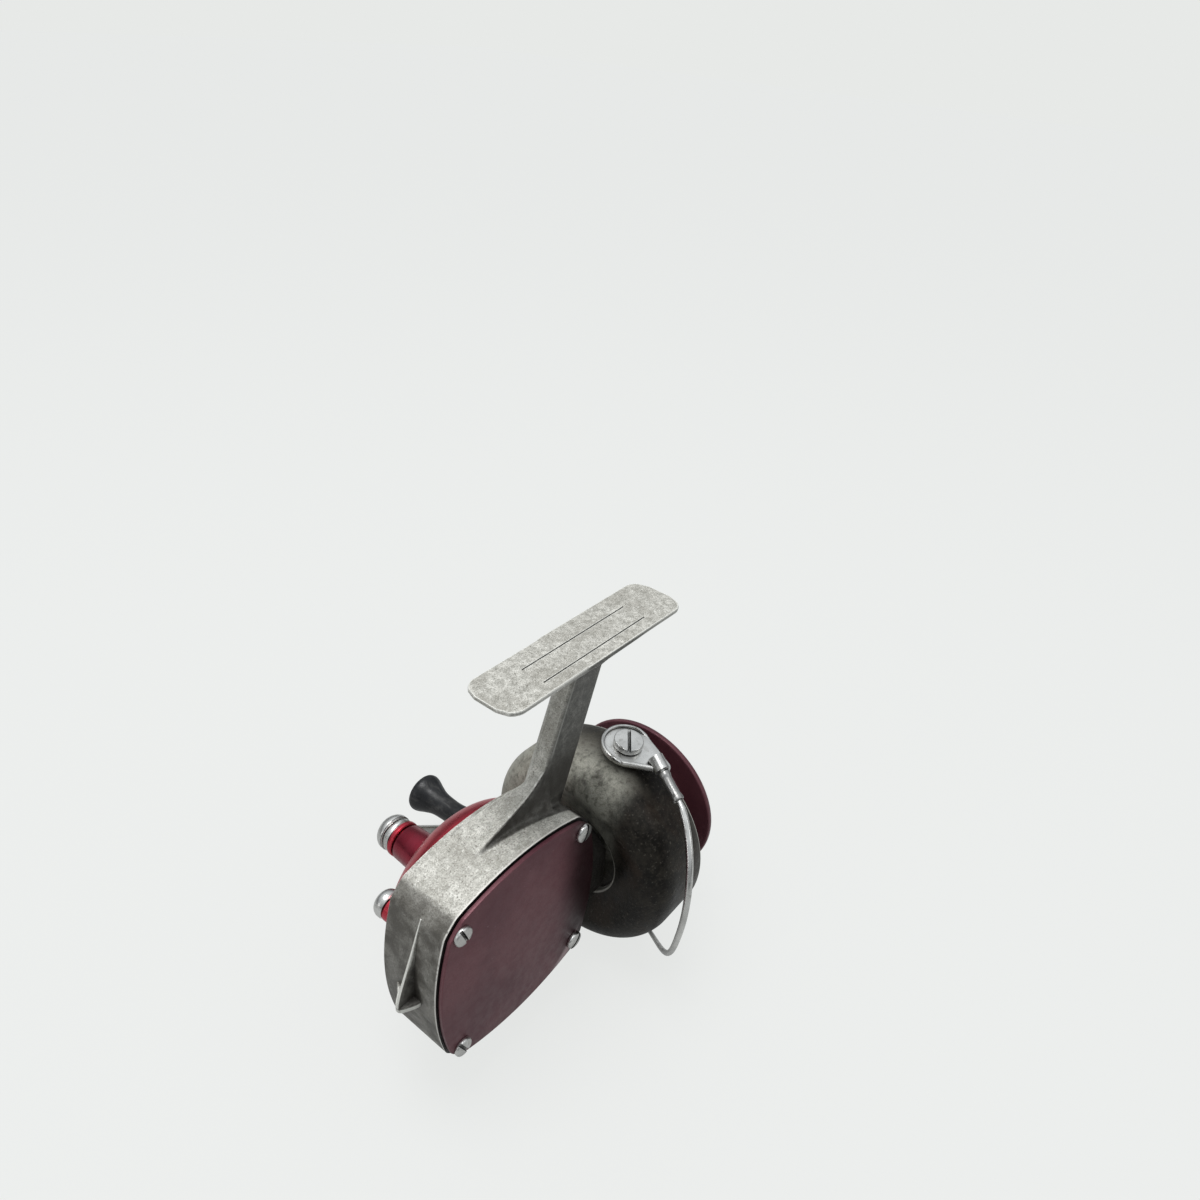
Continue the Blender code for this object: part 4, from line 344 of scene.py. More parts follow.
def rotor_metal():
    look = Finish("rotor_metal", 0.25, 0.4)
    look.shader.inputs["Specular IOR Level"].default_value = 0.2
    grain = look.noise(0.4, 2.0, 0.75)
    blotches = look.noise(6.0, 7.0, 0.7, 0.25)
    streaks = look.noise(1.6, 6.0, 0.72, 0.2)
    clouds = look.noise(15.0, 4.0, 0.55, 0.3)
    # Paler blotches on the upper back of the cup: bare patches, made paler toward the top as painted light.
    back = look.both(look.along("X", 17.0, 8.0), look.along("Y", -17.0, -8.0))
    top = look.along("Z", -84.0, -60.0)
    lit_bare_patches = look.both(back, top, look.spread(blotches, 0.3, 0.56, 0.25, 1.0))
    patina = look.mix(look.spread(blotches, 0.4, 0.68), (0.005, 0.004, 0.003), (0.032, 0.028, 0.022))
    browned = look.mix(look.spread(clouds, 0.48, 0.66, 0.0, 0.6), patina, (0.04, 0.026, 0.018))
    far_side = look.both(look.along("X", 22.0, 12.0), look.along("Y", -6.0, 8.0))
    smooth = look.mix(look.both(far_side, 0.75), browned, (0.25, 0.235, 0.195))
    shown = look.mix(lit_bare_patches, smooth, (0.37, 0.36, 0.305))
    streaked = look.mix(look.spread(streaks, 0.48, 0.68, 0.0, 0.65), shown, (0.04, 0.034, 0.026))
    flecks = look.spread(look.noise(0.8, 4.0, 0.7), 0.58, 0.7, 0.0, 0.3)
    flecked = look.mix(flecks, streaked, (0.2, 0.19, 0.165))
    grained = look.mix(look.spread(grain, 0.28, 0.54, 0.45, 0.0), flecked, (0.01, 0.009, 0.007))
    # Painted shade: the cup's own corners, found by ambient occlusion, go near black.
    ao_darkened = look.mix(look.both(look.hollows(4.0, 0.85, 0.45), 0.9), grained, (0.008, 0.007, 0.006))
    # A pale ring at the dish recess's lip: painted highlight along a worn edge.
    spin = look.from_axis((0.0, 0.0, -SEAT_HEIGHT), (0.0, 1.0, 1.0))
    lip = look.both(look.spread(spin, 13.6 * MM, 13.9 * MM), look.spread(spin, 14.6 * MM, 14.3 * MM))
    lip_highlighted = look.mix(look.both(lip, 0.8), ao_darkened, (0.5, 0.48, 0.43))
    rim = look.both(look.edges(0.53, 0.58), look.along("X", 16.0, 18.0))
    look.set("Base Color", look.mix(rim, lip_highlighted, (0.55, 0.54, 0.49)))
    look.set("Roughness", look.spread(blotches, 0.3, 0.7, 0.3, 0.5))
    look.bump((blotches, 0.12), (streaks, 0.1), (grain, 0.04))
    return look.material


def maroon_plate():
    look = Finish("maroon_plate", 0.35, 0.38)
    look.shader.inputs["Specular IOR Level"].default_value = 0.3
    fine = look.noise(0.35, 2.0, 0.65)
    clouds = look.noise(18.0, 3.0, 0.5)
    scuffs = look.noise(3.0, 6.0, 0.7, 0.3)
    base = look.mix(look.spread(clouds, 0.3, 0.7), (0.11, 0.037, 0.048), (0.16, 0.06, 0.071))
    speckled = look.mix(look.spread(fine, 0.3, 0.6, 0.35, 0.0), base, (0.06, 0.02, 0.027))
    rubbed = look.mix(look.spread(scuffs, 0.6, 0.8, 0.0, 0.3), speckled, (0.22, 0.11, 0.128))
    nicks = look.spread(look.noise(0.9, 3.0, 0.6), 0.7, 0.76, 0.0, 0.6)
    nicked = look.mix(nicks, rubbed, (0.4, 0.3, 0.3))
    # Painted shade: the plate's front part, toward the rotor, goes nearly black.
    ahead = look.both(look.along("X", -19.0, -7.0), look.along("X", 10.0, 5.0))
    dim = look.both(ahead, look.along("Y", -10.0, -11.3))
    shade_darkened = look.mix(look.both(dim, 0.86), nicked, (0.012, 0.004, 0.005))
    worn = look.mix(look.edges(0.54, 0.6), shade_darkened, (0.42, 0.3, 0.31))
    look.set("Base Color", worn)
    look.set("Roughness", look.spread(scuffs, 0.3, 0.75, 0.3, 0.48))
    look.bump((clouds, 0.06), (scuffs, 0.015), (fine, 0.015))
    return look.material


def crimson_cover():
    look = Finish("crimson_cover", 0.9, 0.3)
    marks = look.rings(CRANK.to_translation(), (1.0, 0.0, 1.0), 0.16)
    wide = look.rings(CRANK.to_translation(), (1.0, 0.0, 1.0), 1.4)
    clouds = look.noise(11.0, 4.0, 0.55)
    scuffs = look.noise(1.6, 5.0, 0.7, 0.5)
    base = look.mix(look.spread(clouds, 0.3, 0.7), (0.34, 0.024, 0.038), (0.5, 0.045, 0.062))
    lined = look.mix(look.spread(marks, 0.3, 0.7, 0.0, 0.3), base, (0.55, 0.09, 0.13))
    rubbed = look.mix(look.spread(scuffs, 0.6, 0.8, 0.0, 0.5), lined, (0.13, 0.012, 0.025))
    # The long boss's tube is made darker than the dome.
    tube = look.both(look.along("Y", 20.0, 21.0), look.along("Y", 33.3, 33.2))
    tube_darkened = look.mix(look.both(tube, 0.6), rubbed, (0.12, 0.012, 0.03))
    # Painted shade: the cover's own hollows, found by ambient occlusion, go darker.
    ao_shaded = look.mix(look.both(look.hollows(1.5), 0.85), tube_darkened, (0.03, 0.004, 0.008))
    bare_edge = look.along("Y", 7.95, 7.7)
    look.set("Base Color", look.mix(bare_edge, ao_shaded, (0.7, 0.68, 0.66)))
    look.set("Roughness", look.spread(scuffs, 0.3, 0.75, 0.24, 0.4))
    look.bump((wide, 0.01), (marks, 0.008), (scuffs, 0.006))
    return look.material


def plated(name, colour, tarnish, roughness):
    look = Finish(name, 1.0, roughness)
    haze = look.noise(2.6, 5.0, 0.65, 0.4)
    specks = look.noise(0.5, 3.0, 0.6)
    clouds = look.noise(7.0, 3.0, 0.5)
    base = look.mix(look.spread(clouds, 0.35, 0.68), colour, tuple(c * 0.75 for c in colour))
    hazed = look.mix(look.spread(haze, 0.54, 0.76, 0.0, 0.6), base, tarnish)
    specked = look.mix(look.spread(specks, 0.66, 0.74, 0.0, 0.7), hazed, tuple(c * 0.4 for c in tarnish))
    # Painted shade: the piece's own hollows, found by ambient occlusion, go near black and rougher.
    hollow_shade = look.both(look.hollows(1.2, 0.8, 0.45), 0.97)
    look.set("Base Color", look.mix(hollow_shade, specked, (0.006, 0.005, 0.004)))
    rough = look.spread(haze, 0.35, 0.8, roughness, roughness + 0.2)
    look.set("Roughness", look.math("ADD", rough, look.both(hollow_shade, 0.4)))
    look.bump((haze, 0.006), (specks, 0.0015))
    return look.material


def black_knob():
    look = Finish("black_knob", 0.0, 0.34)
    look.shader.inputs["Specular IOR Level"].default_value = 0.3
    scuffs = look.noise(1.8, 6.0, 0.72, 0.5, (1.0, 0.35, 1.0))
    haze = look.noise(6.0, 4.0, 0.6)
    fine = look.noise(0.3, 2.0, 0.6)
    base = look.mix(look.spread(haze, 0.35, 0.7), (0.006, 0.0065, 0.0075), (0.014, 0.0145, 0.016))
    # The lighter streaks are rubbed scuffs and also painted highlight streaks.
    rubbed = look.mix(look.spread(scuffs, 0.46, 0.72, 0.0, 0.5), base, (0.085, 0.083, 0.078))
    worn = look.mix(look.edges(0.54, 0.62), rubbed, (0.1, 0.097, 0.09))
    look.set("Base Color", worn)
    look.set("Roughness", look.spread(scuffs, 0.3, 0.75, 0.26, 0.52))
    look.bump((scuffs, 0.03), (fine, 0.01))
    return look.material


def machined(name, colour, metallic, roughness):
    look = Finish(name, metallic, roughness)
    marks = look.noise(1.1, 4.0, 0.6, 0.3)
    fine = look.noise(0.25, 2.0, 0.6)
    oiled = tuple(c * 0.45 for c in colour)
    base = look.mix(look.spread(marks, 0.35, 0.75, 0.0, 0.8), colour, oiled)
    look.set("Base Color", look.mix(look.spread(fine, 0.6, 0.8, 0.0, 0.4), base, oiled))
    look.set("Roughness", look.spread(marks, 0.3, 0.7, roughness - 0.08, roughness + 0.14))
    look.bump((marks, 0.02), (fine, 0.008))
    return look.material


LOOKS = {
    "cast_metal": cast_metal(),
    "rotor_metal": rotor_metal(),
    "maroon_plate": maroon_plate(),
    "crimson_cover": crimson_cover(),
    "nickel_plate": plated("nickel_plate", (0.7, 0.695, 0.675), (0.28, 0.265, 0.235), 0.24),
    "dull_nickel": plated("dull_nickel", (0.36, 0.355, 0.345), (0.14, 0.13, 0.115), 0.3),
    "steel": machined("steel", (0.52, 0.51, 0.5), 1.0, 0.32),
    "bearing_brass": machined("bearing_brass", (0.62, 0.45, 0.18), 1.0, 0.32),
    "black_knob": black_knob(),
    "drag_fibre": machined("drag_fibre", (0.26, 0.2, 0.13), 0.0, 0.75),
}


# Shapes


def mm(*points):
    """Points given in millimetres, as metres."""
    return [tuple(value * MM for value in point) for point in points]


def raised(base, *points):
    """Points of (radius, height) in millimetres, raised by a base in metres."""
    return [(radius * MM, base + height * MM) for radius, height in points]


def quarter(count, first=0, last=None):
    """The angles of a right angle cut into this many steps, from the first to the last wanted."""
    final = count if last is None else last
    return [math.pi / 2 * index / count for index in range(first, final + 1)]


def arc(centre, radius, start, end, count):
    step = (end - start) / count
    angles = [start + step * index for index in range(count + 1)]
    return [(centre[0] + radius * math.cos(a), centre[1] + radius * math.sin(a)) for a in angles]


def bulged_box(inset, count=40):
    """The housing's outline: a square whose sides bow outward, in from the outside by the inset."""
    half_x = HOUSING_HALF_LENGTH - inset
    half_z = HOUSING_HALF_HEIGHT - inset
    sides = (
        ((1, -1), (1, 1), (HOUSING_BULGE_X, 0.0)),
        ((1, 1), (-1, 1), (0.0, HOUSING_BULGE_Z)),
        ((-1, 1), (-1, -1), (-HOUSING_BULGE_X, 0.0)),
        ((-1, -1), (1, -1), (0.0, -HOUSING_BULGE_Z)),
    )
    points = []
    for start, end, bow in sides:
        for step in range(count + 1):
            share = HOUSING_CORNER_SHARE + (1 - 2 * HOUSING_CORNER_SHARE) * step / count
            swell = 4 * share * (1 - share)
            x = half_x * (start[0] + (end[0] - start[0]) * share) + bow[0] * swell
            z = half_z * (start[1] + (end[1] - start[1]) * share) + bow[1] * swell
            points.append((HOUSING_CENTRE_X + x, CRANK_ABOVE_SHAFT + z))
    return relaxed(points, 3)


def relaxed(points, rounds):
    """A closed outline with its corners cut softer, round by round."""
    for _ in range(rounds):
        softer = []
        for here, ahead in zip(points, points[1:] + points[:1]):
            softer.append((here[0] * 0.75 + ahead[0] * 0.25, here[1] * 0.75 + ahead[1] * 0.25))
            softer.append((here[0] * 0.25 + ahead[0] * 0.75, here[1] * 0.25 + ahead[1] * 0.75))
        points = softer[::2] if len(softer) > 400 else softer
    return points


def soften(profile, radius, closed=True, count=4):
    """An outline with each corner replaced by a small curve; an open one keeps its two ends."""
    points = []
    last = len(profile) - 1
    for index, corner in enumerate(profile):
        if not closed and index in (0, last):
            points.append(tuple(corner))
            continue
        here = Vector(corner)
        before = Vector(profile[index - 1])
        after = Vector(profile[(index + 1) % len(profile)])
        back = (before - here).normalized() * min(radius, (before - here).length * 0.45)
        ahead = (after - here).normalized() * min(radius, (after - here).length * 0.45)
        for step in range(count + 1):
            share = step / count
            bend = here + back * (1 - share) ** 2 + ahead * share**2
            points.append((bend.x, bend.y))
    return points


def flowing(points, count=6):
    """A smooth curve through the points, with this many steps between each two."""
    ends = [Vector(points[0]) * 2 - Vector(points[1])] + [Vector(p) for p in points]
    ends.append(Vector(points[-1]) * 2 - Vector(points[-2]))
    curve = []
    for index in range(1, len(ends) - 2):
        p0, p1, p2, p3 = ends[index - 1 : index + 3]
        for step in range(count):
            t = step / count
            spot = p1 * 2 + (p2 - p0) * t + (p0 * 2 - p1 * 5 + p2 * 4 - p3) * t**2
            curve.append(tuple((spot + (p1 * 3 - p0 - p2 * 3 + p3) * t**3) / 2))
    curve.append(tuple(ends[-2]))
    return curve


def drawn_in(outline, inset):
    """The outline moved inward by the inset, point by point."""
    points = [Vector(point) for point in outline]
    area = sum(p.cross(q) for p, q in zip(points, points[1:] + points[:1]))
    side = math.copysign(1.0, area)
    moved = []
    for index, here in enumerate(points):
        ahead = points[(index + 1) % len(points)] - points[index - 1]
        inward = Vector((-ahead.y, ahead.x)).normalized() * side
        moved.append(here + inward * inset)
    return moved


def link_outline(first, first_radius, second, second_radius, count=32):
    """The belt-shaped outline around two circles."""
    first = Vector(first)
    second = Vector(second)
    across = second - first
    heading = math.atan2(across.y, across.x)
    spread = math.acos((first_radius - second_radius) / across.length)
    around_first = arc(first, first_radius, heading + spread, heading + 2 * math.pi - spread, count)
    return around_first + arc(second, second_radius, heading - spread, heading + spread, count)


def placed(place, points):
    return [place @ Vector(point) for point in points]


def prism(mesh, outline, low, high, place):
    """Adds an outline drawn out between two heights to a mesh."""
    floor = [mesh.verts.new(place @ Vector((x, y, low))) for x, y in outline]
    roof = [mesh.verts.new(place @ Vector((x, y, high))) for x, y in outline]
    mesh.faces.new(floor)
    mesh.faces.new(roof[::-1])
    for index in range(len(outline)):
        following = (index + 1) % len(outline)
        mesh.faces.new((floor[index], roof[index], roof[following], floor[following]))


def lofted(mesh, sections):
    """Adds a closed skin through rings of points, each with as many points as the first."""
    rings = [[mesh.verts.new(point) for point in section] for section in sections]
    for low, high in zip(rings, rings[1:]):
        for index in range(len(low)):
            following = (index + 1) % len(low)
            mesh.faces.new((low[index], low[following], high[following], high[index]))
    mesh.faces.new(rings[0][::-1])
    mesh.faces.new(rings[-1])


def layered(mesh, outline, layers, place):
    """Adds a closed skin through copies of an outline, each with its own inset and height."""
    sections = []
    for inset, height in layers:
        sections.append(placed(place, [(p.x, p.y, height) for p in drawn_in(outline, inset)]))
    lofted(mesh, sections)


def piece(name, mesh, place, slot, sharp=32.0):
    """A shown object at the origin, its place in its vertices, smooth but for its sharp edges."""
    made = bpy.data.meshes.new(name)
    bmesh.ops.transform(mesh, matrix=place, verts=mesh.verts)
    bmesh.ops.recalc_face_normals(mesh, faces=mesh.faces)
    mesh.to_mesh(made)
    mesh.free()
    made.shade_smooth()
    made.set_sharp_from_angle(angle=math.radians(sharp))
    made.materials.append(LOOKS[slot])
    thing = bpy.data.objects.new(name, made)
    bpy.context.scene.collection.objects.link(thing)
    return thing


def turned(name, profile, place, slot, steps=96, wave=None):
    """A profile of (radius, height) points swept round the local Z axis."""
    mesh = bmesh.new()
    rings = []
    for radius, height in profile:
        if radius <= 0.0:
            rings.append([mesh.verts.new((0.0, 0.0, height))])
            continue
        ring = []
        for index in range(steps):
            angle = 2 * math.pi * index / steps
            reach = radius + (wave(angle, radius) if wave else 0.0)
            ring.append(mesh.verts.new((reach * math.cos(angle), reach * math.sin(angle), height)))
        rings.append(ring)
    pairs = list(zip(rings, rings[1:]))
    if all(len(ring) > 1 for ring in rings):
        pairs.append((rings[-1], rings[0]))
    for low, high in pairs:
        for index in range(steps):
            following = (index + 1) % steps
            below = [low[index % len(low)], low[following % len(low)]]
            above = [high[following % len(high)], high[index % len(high)]]
            corners = list(dict.fromkeys(below + above))
            if len(corners) > 2:
                mesh.faces.new(corners)
    return piece(name, mesh, place, slot)


def stamped(name, outline, thickness, rim, place, slot):
    """A flat outline of this thickness, rounded all round its edges."""
    mesh = bmesh.new()
    layers = [(rim * (1 - math.sin(a)), rim * (1 - math.cos(a)) - thickness / 2) for a in quarter(4)]
    layers += [(inset, -height) for inset, height in layers[::-1]]
    layered(mesh, outline, layers, Matrix())
    return piece(name, mesh, place, slot, 40.0)


def swept(name, path, radii, slot, sides=20):
    """A round wire through the path, with a radius at each point."""
    mesh = bmesh.new()
    sections = []
    side = None
    for index, spot in enumerate(path):
        ahead = (path[min(index + 1, len(path) - 1)] - path[max(index - 1, 0)]).normalized()
        if side is None:
            side = ahead.orthogonal().normalized()
        side = (side - ahead * side.dot(ahead)).normalized()
        up = ahead.cross(side)
        ring = []
        for number in range(sides):
            angle = 2 * math.pi * number / sides
            ring.append(spot + (side * math.cos(angle) + up * math.sin(angle)) * radii[index])
        sections.append(ring)
    lofted(mesh, sections)
    return piece(name, mesh, Matrix(), slot)


def tool(name, mesh):
    """A mesh that only cuts or adds to another."""
    bmesh.ops.recalc_face_normals(mesh, faces=mesh.faces)
    made = bpy.data.meshes.new(name)
    mesh.to_mesh(made)
    mesh.free()
    thing = bpy.data.objects.new(name, made)
    bpy.context.scene.collection.objects.link(thing)
    return thing


def round_tool(radius, low, high, place, steps=64):
    mesh = bmesh.new()
    outline = arc((0, 0), radius, 0.0, 2 * math.pi * (steps - 1) / steps, steps - 1)
    prism(mesh, outline, low, high, place)
    return mesh


def box_tool(low, high, place):
    mesh = bmesh.new()
    outline = [(low[0], low[1]), (high[0], low[1]), (high[0], high[1]), (low[0], high[1])]
    prism(mesh, outline, low[2], high[2], place)
    return mesh


def settle(thing):
    """Turns the object's modifiers into its mesh."""
    made = bpy.data.meshes.new_from_object(thing.evaluated_get(bpy.context.evaluated_depsgraph_get()))
    thing.modifiers.clear()
    old = thing.data
    thing.data = made
    bpy.data.meshes.remove(old)


def carve(thing, *meshes, operation="DIFFERENCE", sharp=32.0):
    """Cuts the meshes out of the object, or adds them to it, one after another."""
    for index, mesh in enumerate(meshes):
        other = tool(f"{thing.name}_tool_{index}", mesh)
        change = thing.modifiers.new("Carve", "BOOLEAN")
        change.operation = operation
        change.solver = "MANIFOLD"
        change.object = other
        settle(thing)
        bpy.data.objects.remove(other, do_unlink=True)
    thing.data.shade_smooth()
    thing.data.set_sharp_from_angle(angle=math.radians(sharp))
    return thing


def dress(thing, body, slot, *nodes):
    """The piece rides on its body and stands for these nodes."""
    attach(thing, body)
    if nodes:
        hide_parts(*nodes)


# Casting


def stem_line(height, edge):
    """The stem's rear (edge 0) or front (edge 1) at a height above the spool axis."""
    top = SEAT_HEIGHT - 4.0 * MM
    rear_at_top = 23.8 * MM
    lean = 15.2 * MM
    width = 12.2 * MM
    flare = 1.4 * MM
    share = (top - height) / (top - (HOUSING_HALF_HEIGHT + CRANK_ABOVE_SHAFT))
    return rear_at_top - lean * share + (width + flare * share) * edge


def stem(mesh):
    """The leaning bar: a wide flat on the plate side, a narrower one behind and a ridge between."""
    steps = 12
    lowest = 28.0 * MM
    sections = []
    for step in range(steps + 1):
        height = SEAT_HEIGHT - 0.6 * MM + (lowest - SEAT_HEIGHT) * step / steps
        rear = stem_line(height, 0)
        front = stem_line(height, 1)
        outline = [
            (rear, -2.6 * MM),
            (rear, 1.0 * MM),
            (rear + 1.6 * MM, 2.5 * MM),
            (front - 2.6 * MM, 2.5 * MM),
            (front, 0.9 * MM),
            (front + 0.1 * MM, -2.4 * MM),
            (front - 1.2 * MM, -3.6 * MM),
            (rear + 0.9 * MM, -3.6 * MM),
        ]
        sections.append(placed(GEARBOX, [(x, y, height) for x, y in outline]))
    lofted(mesh, sections)


def foot(mesh):
    """The foot in slices along the rod: round corners in plan, a little wider ahead, thicker at the stem."""
    steps = 66
    half_length = 33.0 * MM
    corner = 4.6 * MM
    edge_thickness = 1.3 * MM
    bevel = 1.8 * MM
    rear = FOOT_AHEAD - half_length
    front = FOOT_AHEAD + half_length
    top = SEAT_HEIGHT
    edge = SEAT_HEIGHT - edge_thickness
    sections = []
    for step in range(steps + 1):
        x = rear + (front - rear) * step / steps
        half = 8.0 * MM + 0.4 * MM * step / steps
        from_end = min(x - rear, front - x)
        if from_end < corner:
            half -= corner - math.sqrt(max(0.0, corner**2 - (corner - from_end) ** 2))
        hump = max(0.0, 1.0 - abs(x - FOOT_AHEAD) / (20.0 * MM))
        low = SEAT_HEIGHT - (edge_thickness + 2.7 * MM * hump**1.4)
        inner = half - bevel
        outline = [(-half, top), (-half, edge), (-inner, low), (inner, low), (half, edge), (half, top)]
        sections.append(placed(GEARBOX, [(x, y, z) for y, z in outline]))
    lofted(mesh, sections)


def gusset(mesh):
    """A ramp up to the stem: its crest leans to the plate side, where the web drops off and is hollow."""
    base = 31.0 * MM
    crest = -3.5 * MM
    sections = []
    for x, z in flowing(mm(*GUSSET_CREST), 3):
        grown = min(1.0, max(0.0, (x + 11.0 * MM) / (22.0 * MM)))
        hollow = 1.1 * MM * grown
        ramp = 5.6 * MM - 3.2 * MM * grown**2
        outline = [
            (crest, z),
            (-2.7 * MM, z + 0.1 * MM),
            (ramp, min(z, 34.6 * MM + 4.5 * MM * grown)),
            (ramp + 0.6 * MM, base),
            (-3.6 * MM - 2.4 * MM * grown, base),
            (crest - 0.1 * MM * grown, (z + base) / 2),
            (crest + hollow * 0.5, z - 0.9 * MM),
        ]
        sections.append(placed(GEARBOX, [(x, y, height) for y, height in outline]))
    lofted(mesh, sections)


def rear_fin():
    """The thin rib down the rear wall: sharp at its crest, hollow beside it."""
    root = -25.0 * MM
    side = -3.0 * MM
    top = 27.6 * MM
    mesh = bmesh.new()
    sections = []
    for x, z in mm(*flowing(FIN_CREST, 4)):
        reach = root - x
        crown = 0.12 * MM + 0.34 * MM * (top - z) / (24.0 * MM)
        outline = [
            (x, side - crown),
            (x, side + crown),
            (x + 0.5 * reach, side + 0.8 * MM),
            (root, side + 1.2 * MM + 0.25 * reach),
            (root, side - 1.0 * MM - 0.1 * reach),
            (x + 0.5 * reach, side - 0.65 * MM),
        ]
        sections.append(placed(GEARBOX, [(px, y, z) for px, y in outline]))
    lofted(mesh, sections)
    return mesh


def fin_shelf():
    """The small ledge across the fin's foot."""
    mesh = bmesh.new()
    layers = mm((0.5, 1.5), (0.15, 1.65), (0.0, 2.0), (0.0, 3.1), (0.15, 3.45), (0.5, 3.6))
    layered(mesh, mm(*soften(SHELF_OUTLINE, 1.0)), layers, GEARBOX)
    return mesh


def front_boss():
    """The bearing boss, cut flat where the cover and the plate pass it."""
    boss = tool("boss", round_tool(12.5 * MM, 22.0 * MM, 35.0 * MM, GEARBOX @ ALONG_X))
    low, high = mm((-5.0, -20.0, -20.0), (40.0, -10.4, 20.0))
    cover = round_tool(26.9 * MM, 6.7 * MM, 20.0 * MM, CRANK @ ALONG_Y, 96)
    carve(boss, box_tool(low, high, GEARBOX), cover)
    return boss


def scribed_line(side):
    """A thin groove along the foot's top."""
    mesh = bmesh.new()
    half = 0.28 * MM
    over = SEAT_HEIGHT + 0.1 * MM
    outline = [(side - half, over), (side + half, over), (side, SEAT_HEIGHT - 0.3 * MM)]
    prism(mesh, outline, 10.5 * MM, 49.0 * MM, GEARBOX @ UPWARD_PLATE)
    return mesh


def casting():
    mesh = bmesh.new()
    low = -COVER_FACE - TRIM_ROOM
    high = -PLATE_FACE + TRIM_ROOM
    prism(mesh, bulged_box(0.0), low, high, GEARBOX @ TO_PLATE_SIDE)
    stem(mesh)
    foot(mesh)
    gusset(mesh)
    boss = front_boss()
    mesh.from_mesh(boss.data)
    bpy.data.objects.remove(boss, do_unlink=True)
    body = piece("reel_casting", mesh, Matrix(), "cast_metal", 28.0)
    grid = body.modifiers.new("Merge", "REMESH")
    grid.mode = "VOXEL"
    grid.voxel_size = VOXEL
    soft = body.modifiers.new("Fillets", "SMOOTH")
    soft.factor = 0.5
    soft.iterations = SMOOTH_ROUNDS
    settle(body)
    carve(body, rear_fin(), fin_shelf(), operation="UNION")
    around = 45.0 * MM
    past_plate = box_tool((-around, -around, -around), (around, PLATE_FACE, around), GEARBOX)
    past_cover = box_tool((-around, COVER_FACE, -around), (27.5 * MM, 30.0 * MM, 36.5 * MM), GEARBOX)
    inside = bmesh.new()
    prism(inside, bulged_box(HOUSING_WALL), -5.0 * MM, 14.0 * MM, GEARBOX @ TO_PLATE_SIDE)
    opening = round_tool(23.3 * MM, 4.9 * MM, 9.0 * MM, CRANK @ ALONG_Y, 96)
    bore = round_tool(5.3 * MM, 15.0 * MM, 40.0 * MM, GEARBOX @ ALONG_X, 48)
    lines = [scribed_line(2.35 * MM), scribed_line(-4.4 * MM)]
    carve(body, past_plate, past_cover, inside, opening, bore, *lines, sharp=28.0)
    dress(body, "housing", "cast_metal", "body_casting")


# Side plate and its screws


def slotted_head(name, sizes, place, body, node):
    """A cheese head with a crowned, worn top and a driver slot."""
    head, rise, crown, slot_width, slot_depth = (value * MM for value in sizes)
    shoulder = rise - crown
    top = [(head * math.sin(a), shoulder + crown * math.cos(a)) for a in quarter(10, 1, 8)]
    flank = [(head, shoulder - 0.15 * MM), (head, 0.1 * MM), (head - 0.1 * MM, 0.0), (0.0, 0.0)]
    profile = soften([(0.0, rise)] + top + flank, 0.12 * MM, closed=False, count=2)
    screw = turned(name, profile, place, "nickel_plate", 72)
    half = slot_width / 2
    blade = box_tool((-half, -head * 1.2, rise - slot_depth), (half, head * 1.2, rise * 1.5), place)
    carve(screw, blade)
    dress(screw, body, "nickel_plate", node)


def side_plate():
    place = GEARBOX @ TO_PLATE_SIDE @ Matrix.Translation((0, 0, -PLATE_FACE + 0.9 * MM))
    outline = bulged_box(0.5 * MM)
    plate = stamped("maroon_side_plate", outline, 1.2 * MM, 0.22 * MM, place, "maroon_plate")
    dress(plate, "housing", "maroon_plate", "side_plate")
    corners = ((-1, -1, 0.5), (-1, 1, 0.35), (1, -1, 2.3), (1, 1, 2.75))
    for number, (across, up, turn) in enumerate(corners, 1):
        x = HOUSING_CENTRE_X + across * 21.4 * MM
        z = CRANK_ABOVE_SHAFT + up * 20.9 * MM
        spot = GEARBOX @ Matrix.Translation((x, -12.5 * MM, z)) @ TO_PLATE_SIDE
        place = spot @ Matrix.Rotation(turn, 4, "Z")
        slotted_head(f"side_plate_screw_{number}", PLATE_SCREW, place, "housing", f"plate_screw_{number}")


# Handle side


def handle_cover():
    """The dome with its long boss, its rolled edge and the switch's raised seat."""
    steps = 40
    base = 7.3 * MM
    height = 13.9 * MM
    radius = 26.6 * MM
    boss = 5.8 * MM
    last = math.acos(boss / radius)
    bends = [last * index / steps for index in range(steps + 1)]
    dome = [(radius * math.cos(bend), base + height * math.sin(bend)) for bend in bends]
    edge = [(radius - 0.25 * MM, base), (radius, base + 0.25 * MM), (radius, base + 0.7 * MM)]
    fillet = [(boss + 0.5 * MM, dome[-1][1] + 0.12 * MM), (boss + 0.1 * MM, dome[-1][1] + 0.6 * MM)]
    tube = mm((5.25, 32.6), (5.0, 33.0), (3.6, 33.0), (3.6, 20.0), (3.6, 18.0)) + [(boss, 18.0 * MM)]
    inner = raised(base, (21.0, 1.5)) + mm((21.0, 5.2), (23.0, 5.2)) + raised(base, (23.0, 0.0))
    profile = edge + dome[2:-1] + fillet + tube + inner
    cover = turned("crimson_dome", profile, CRANK @ ALONG_Y, "crimson_cover", 160)
    carve(cover, round_tool(3.7 * MM, 14.0 * MM, 17.0 * MM, SWITCH @ ALONG_Y, 48), operation="UNION")
    carve(cover, round_tool(1.7 * MM, 10.0 * MM, 22.0 * MM, SWITCH @ ALONG_Y, 32))
    dress(cover, "housing", "crimson_cover", "handle_side_cover")


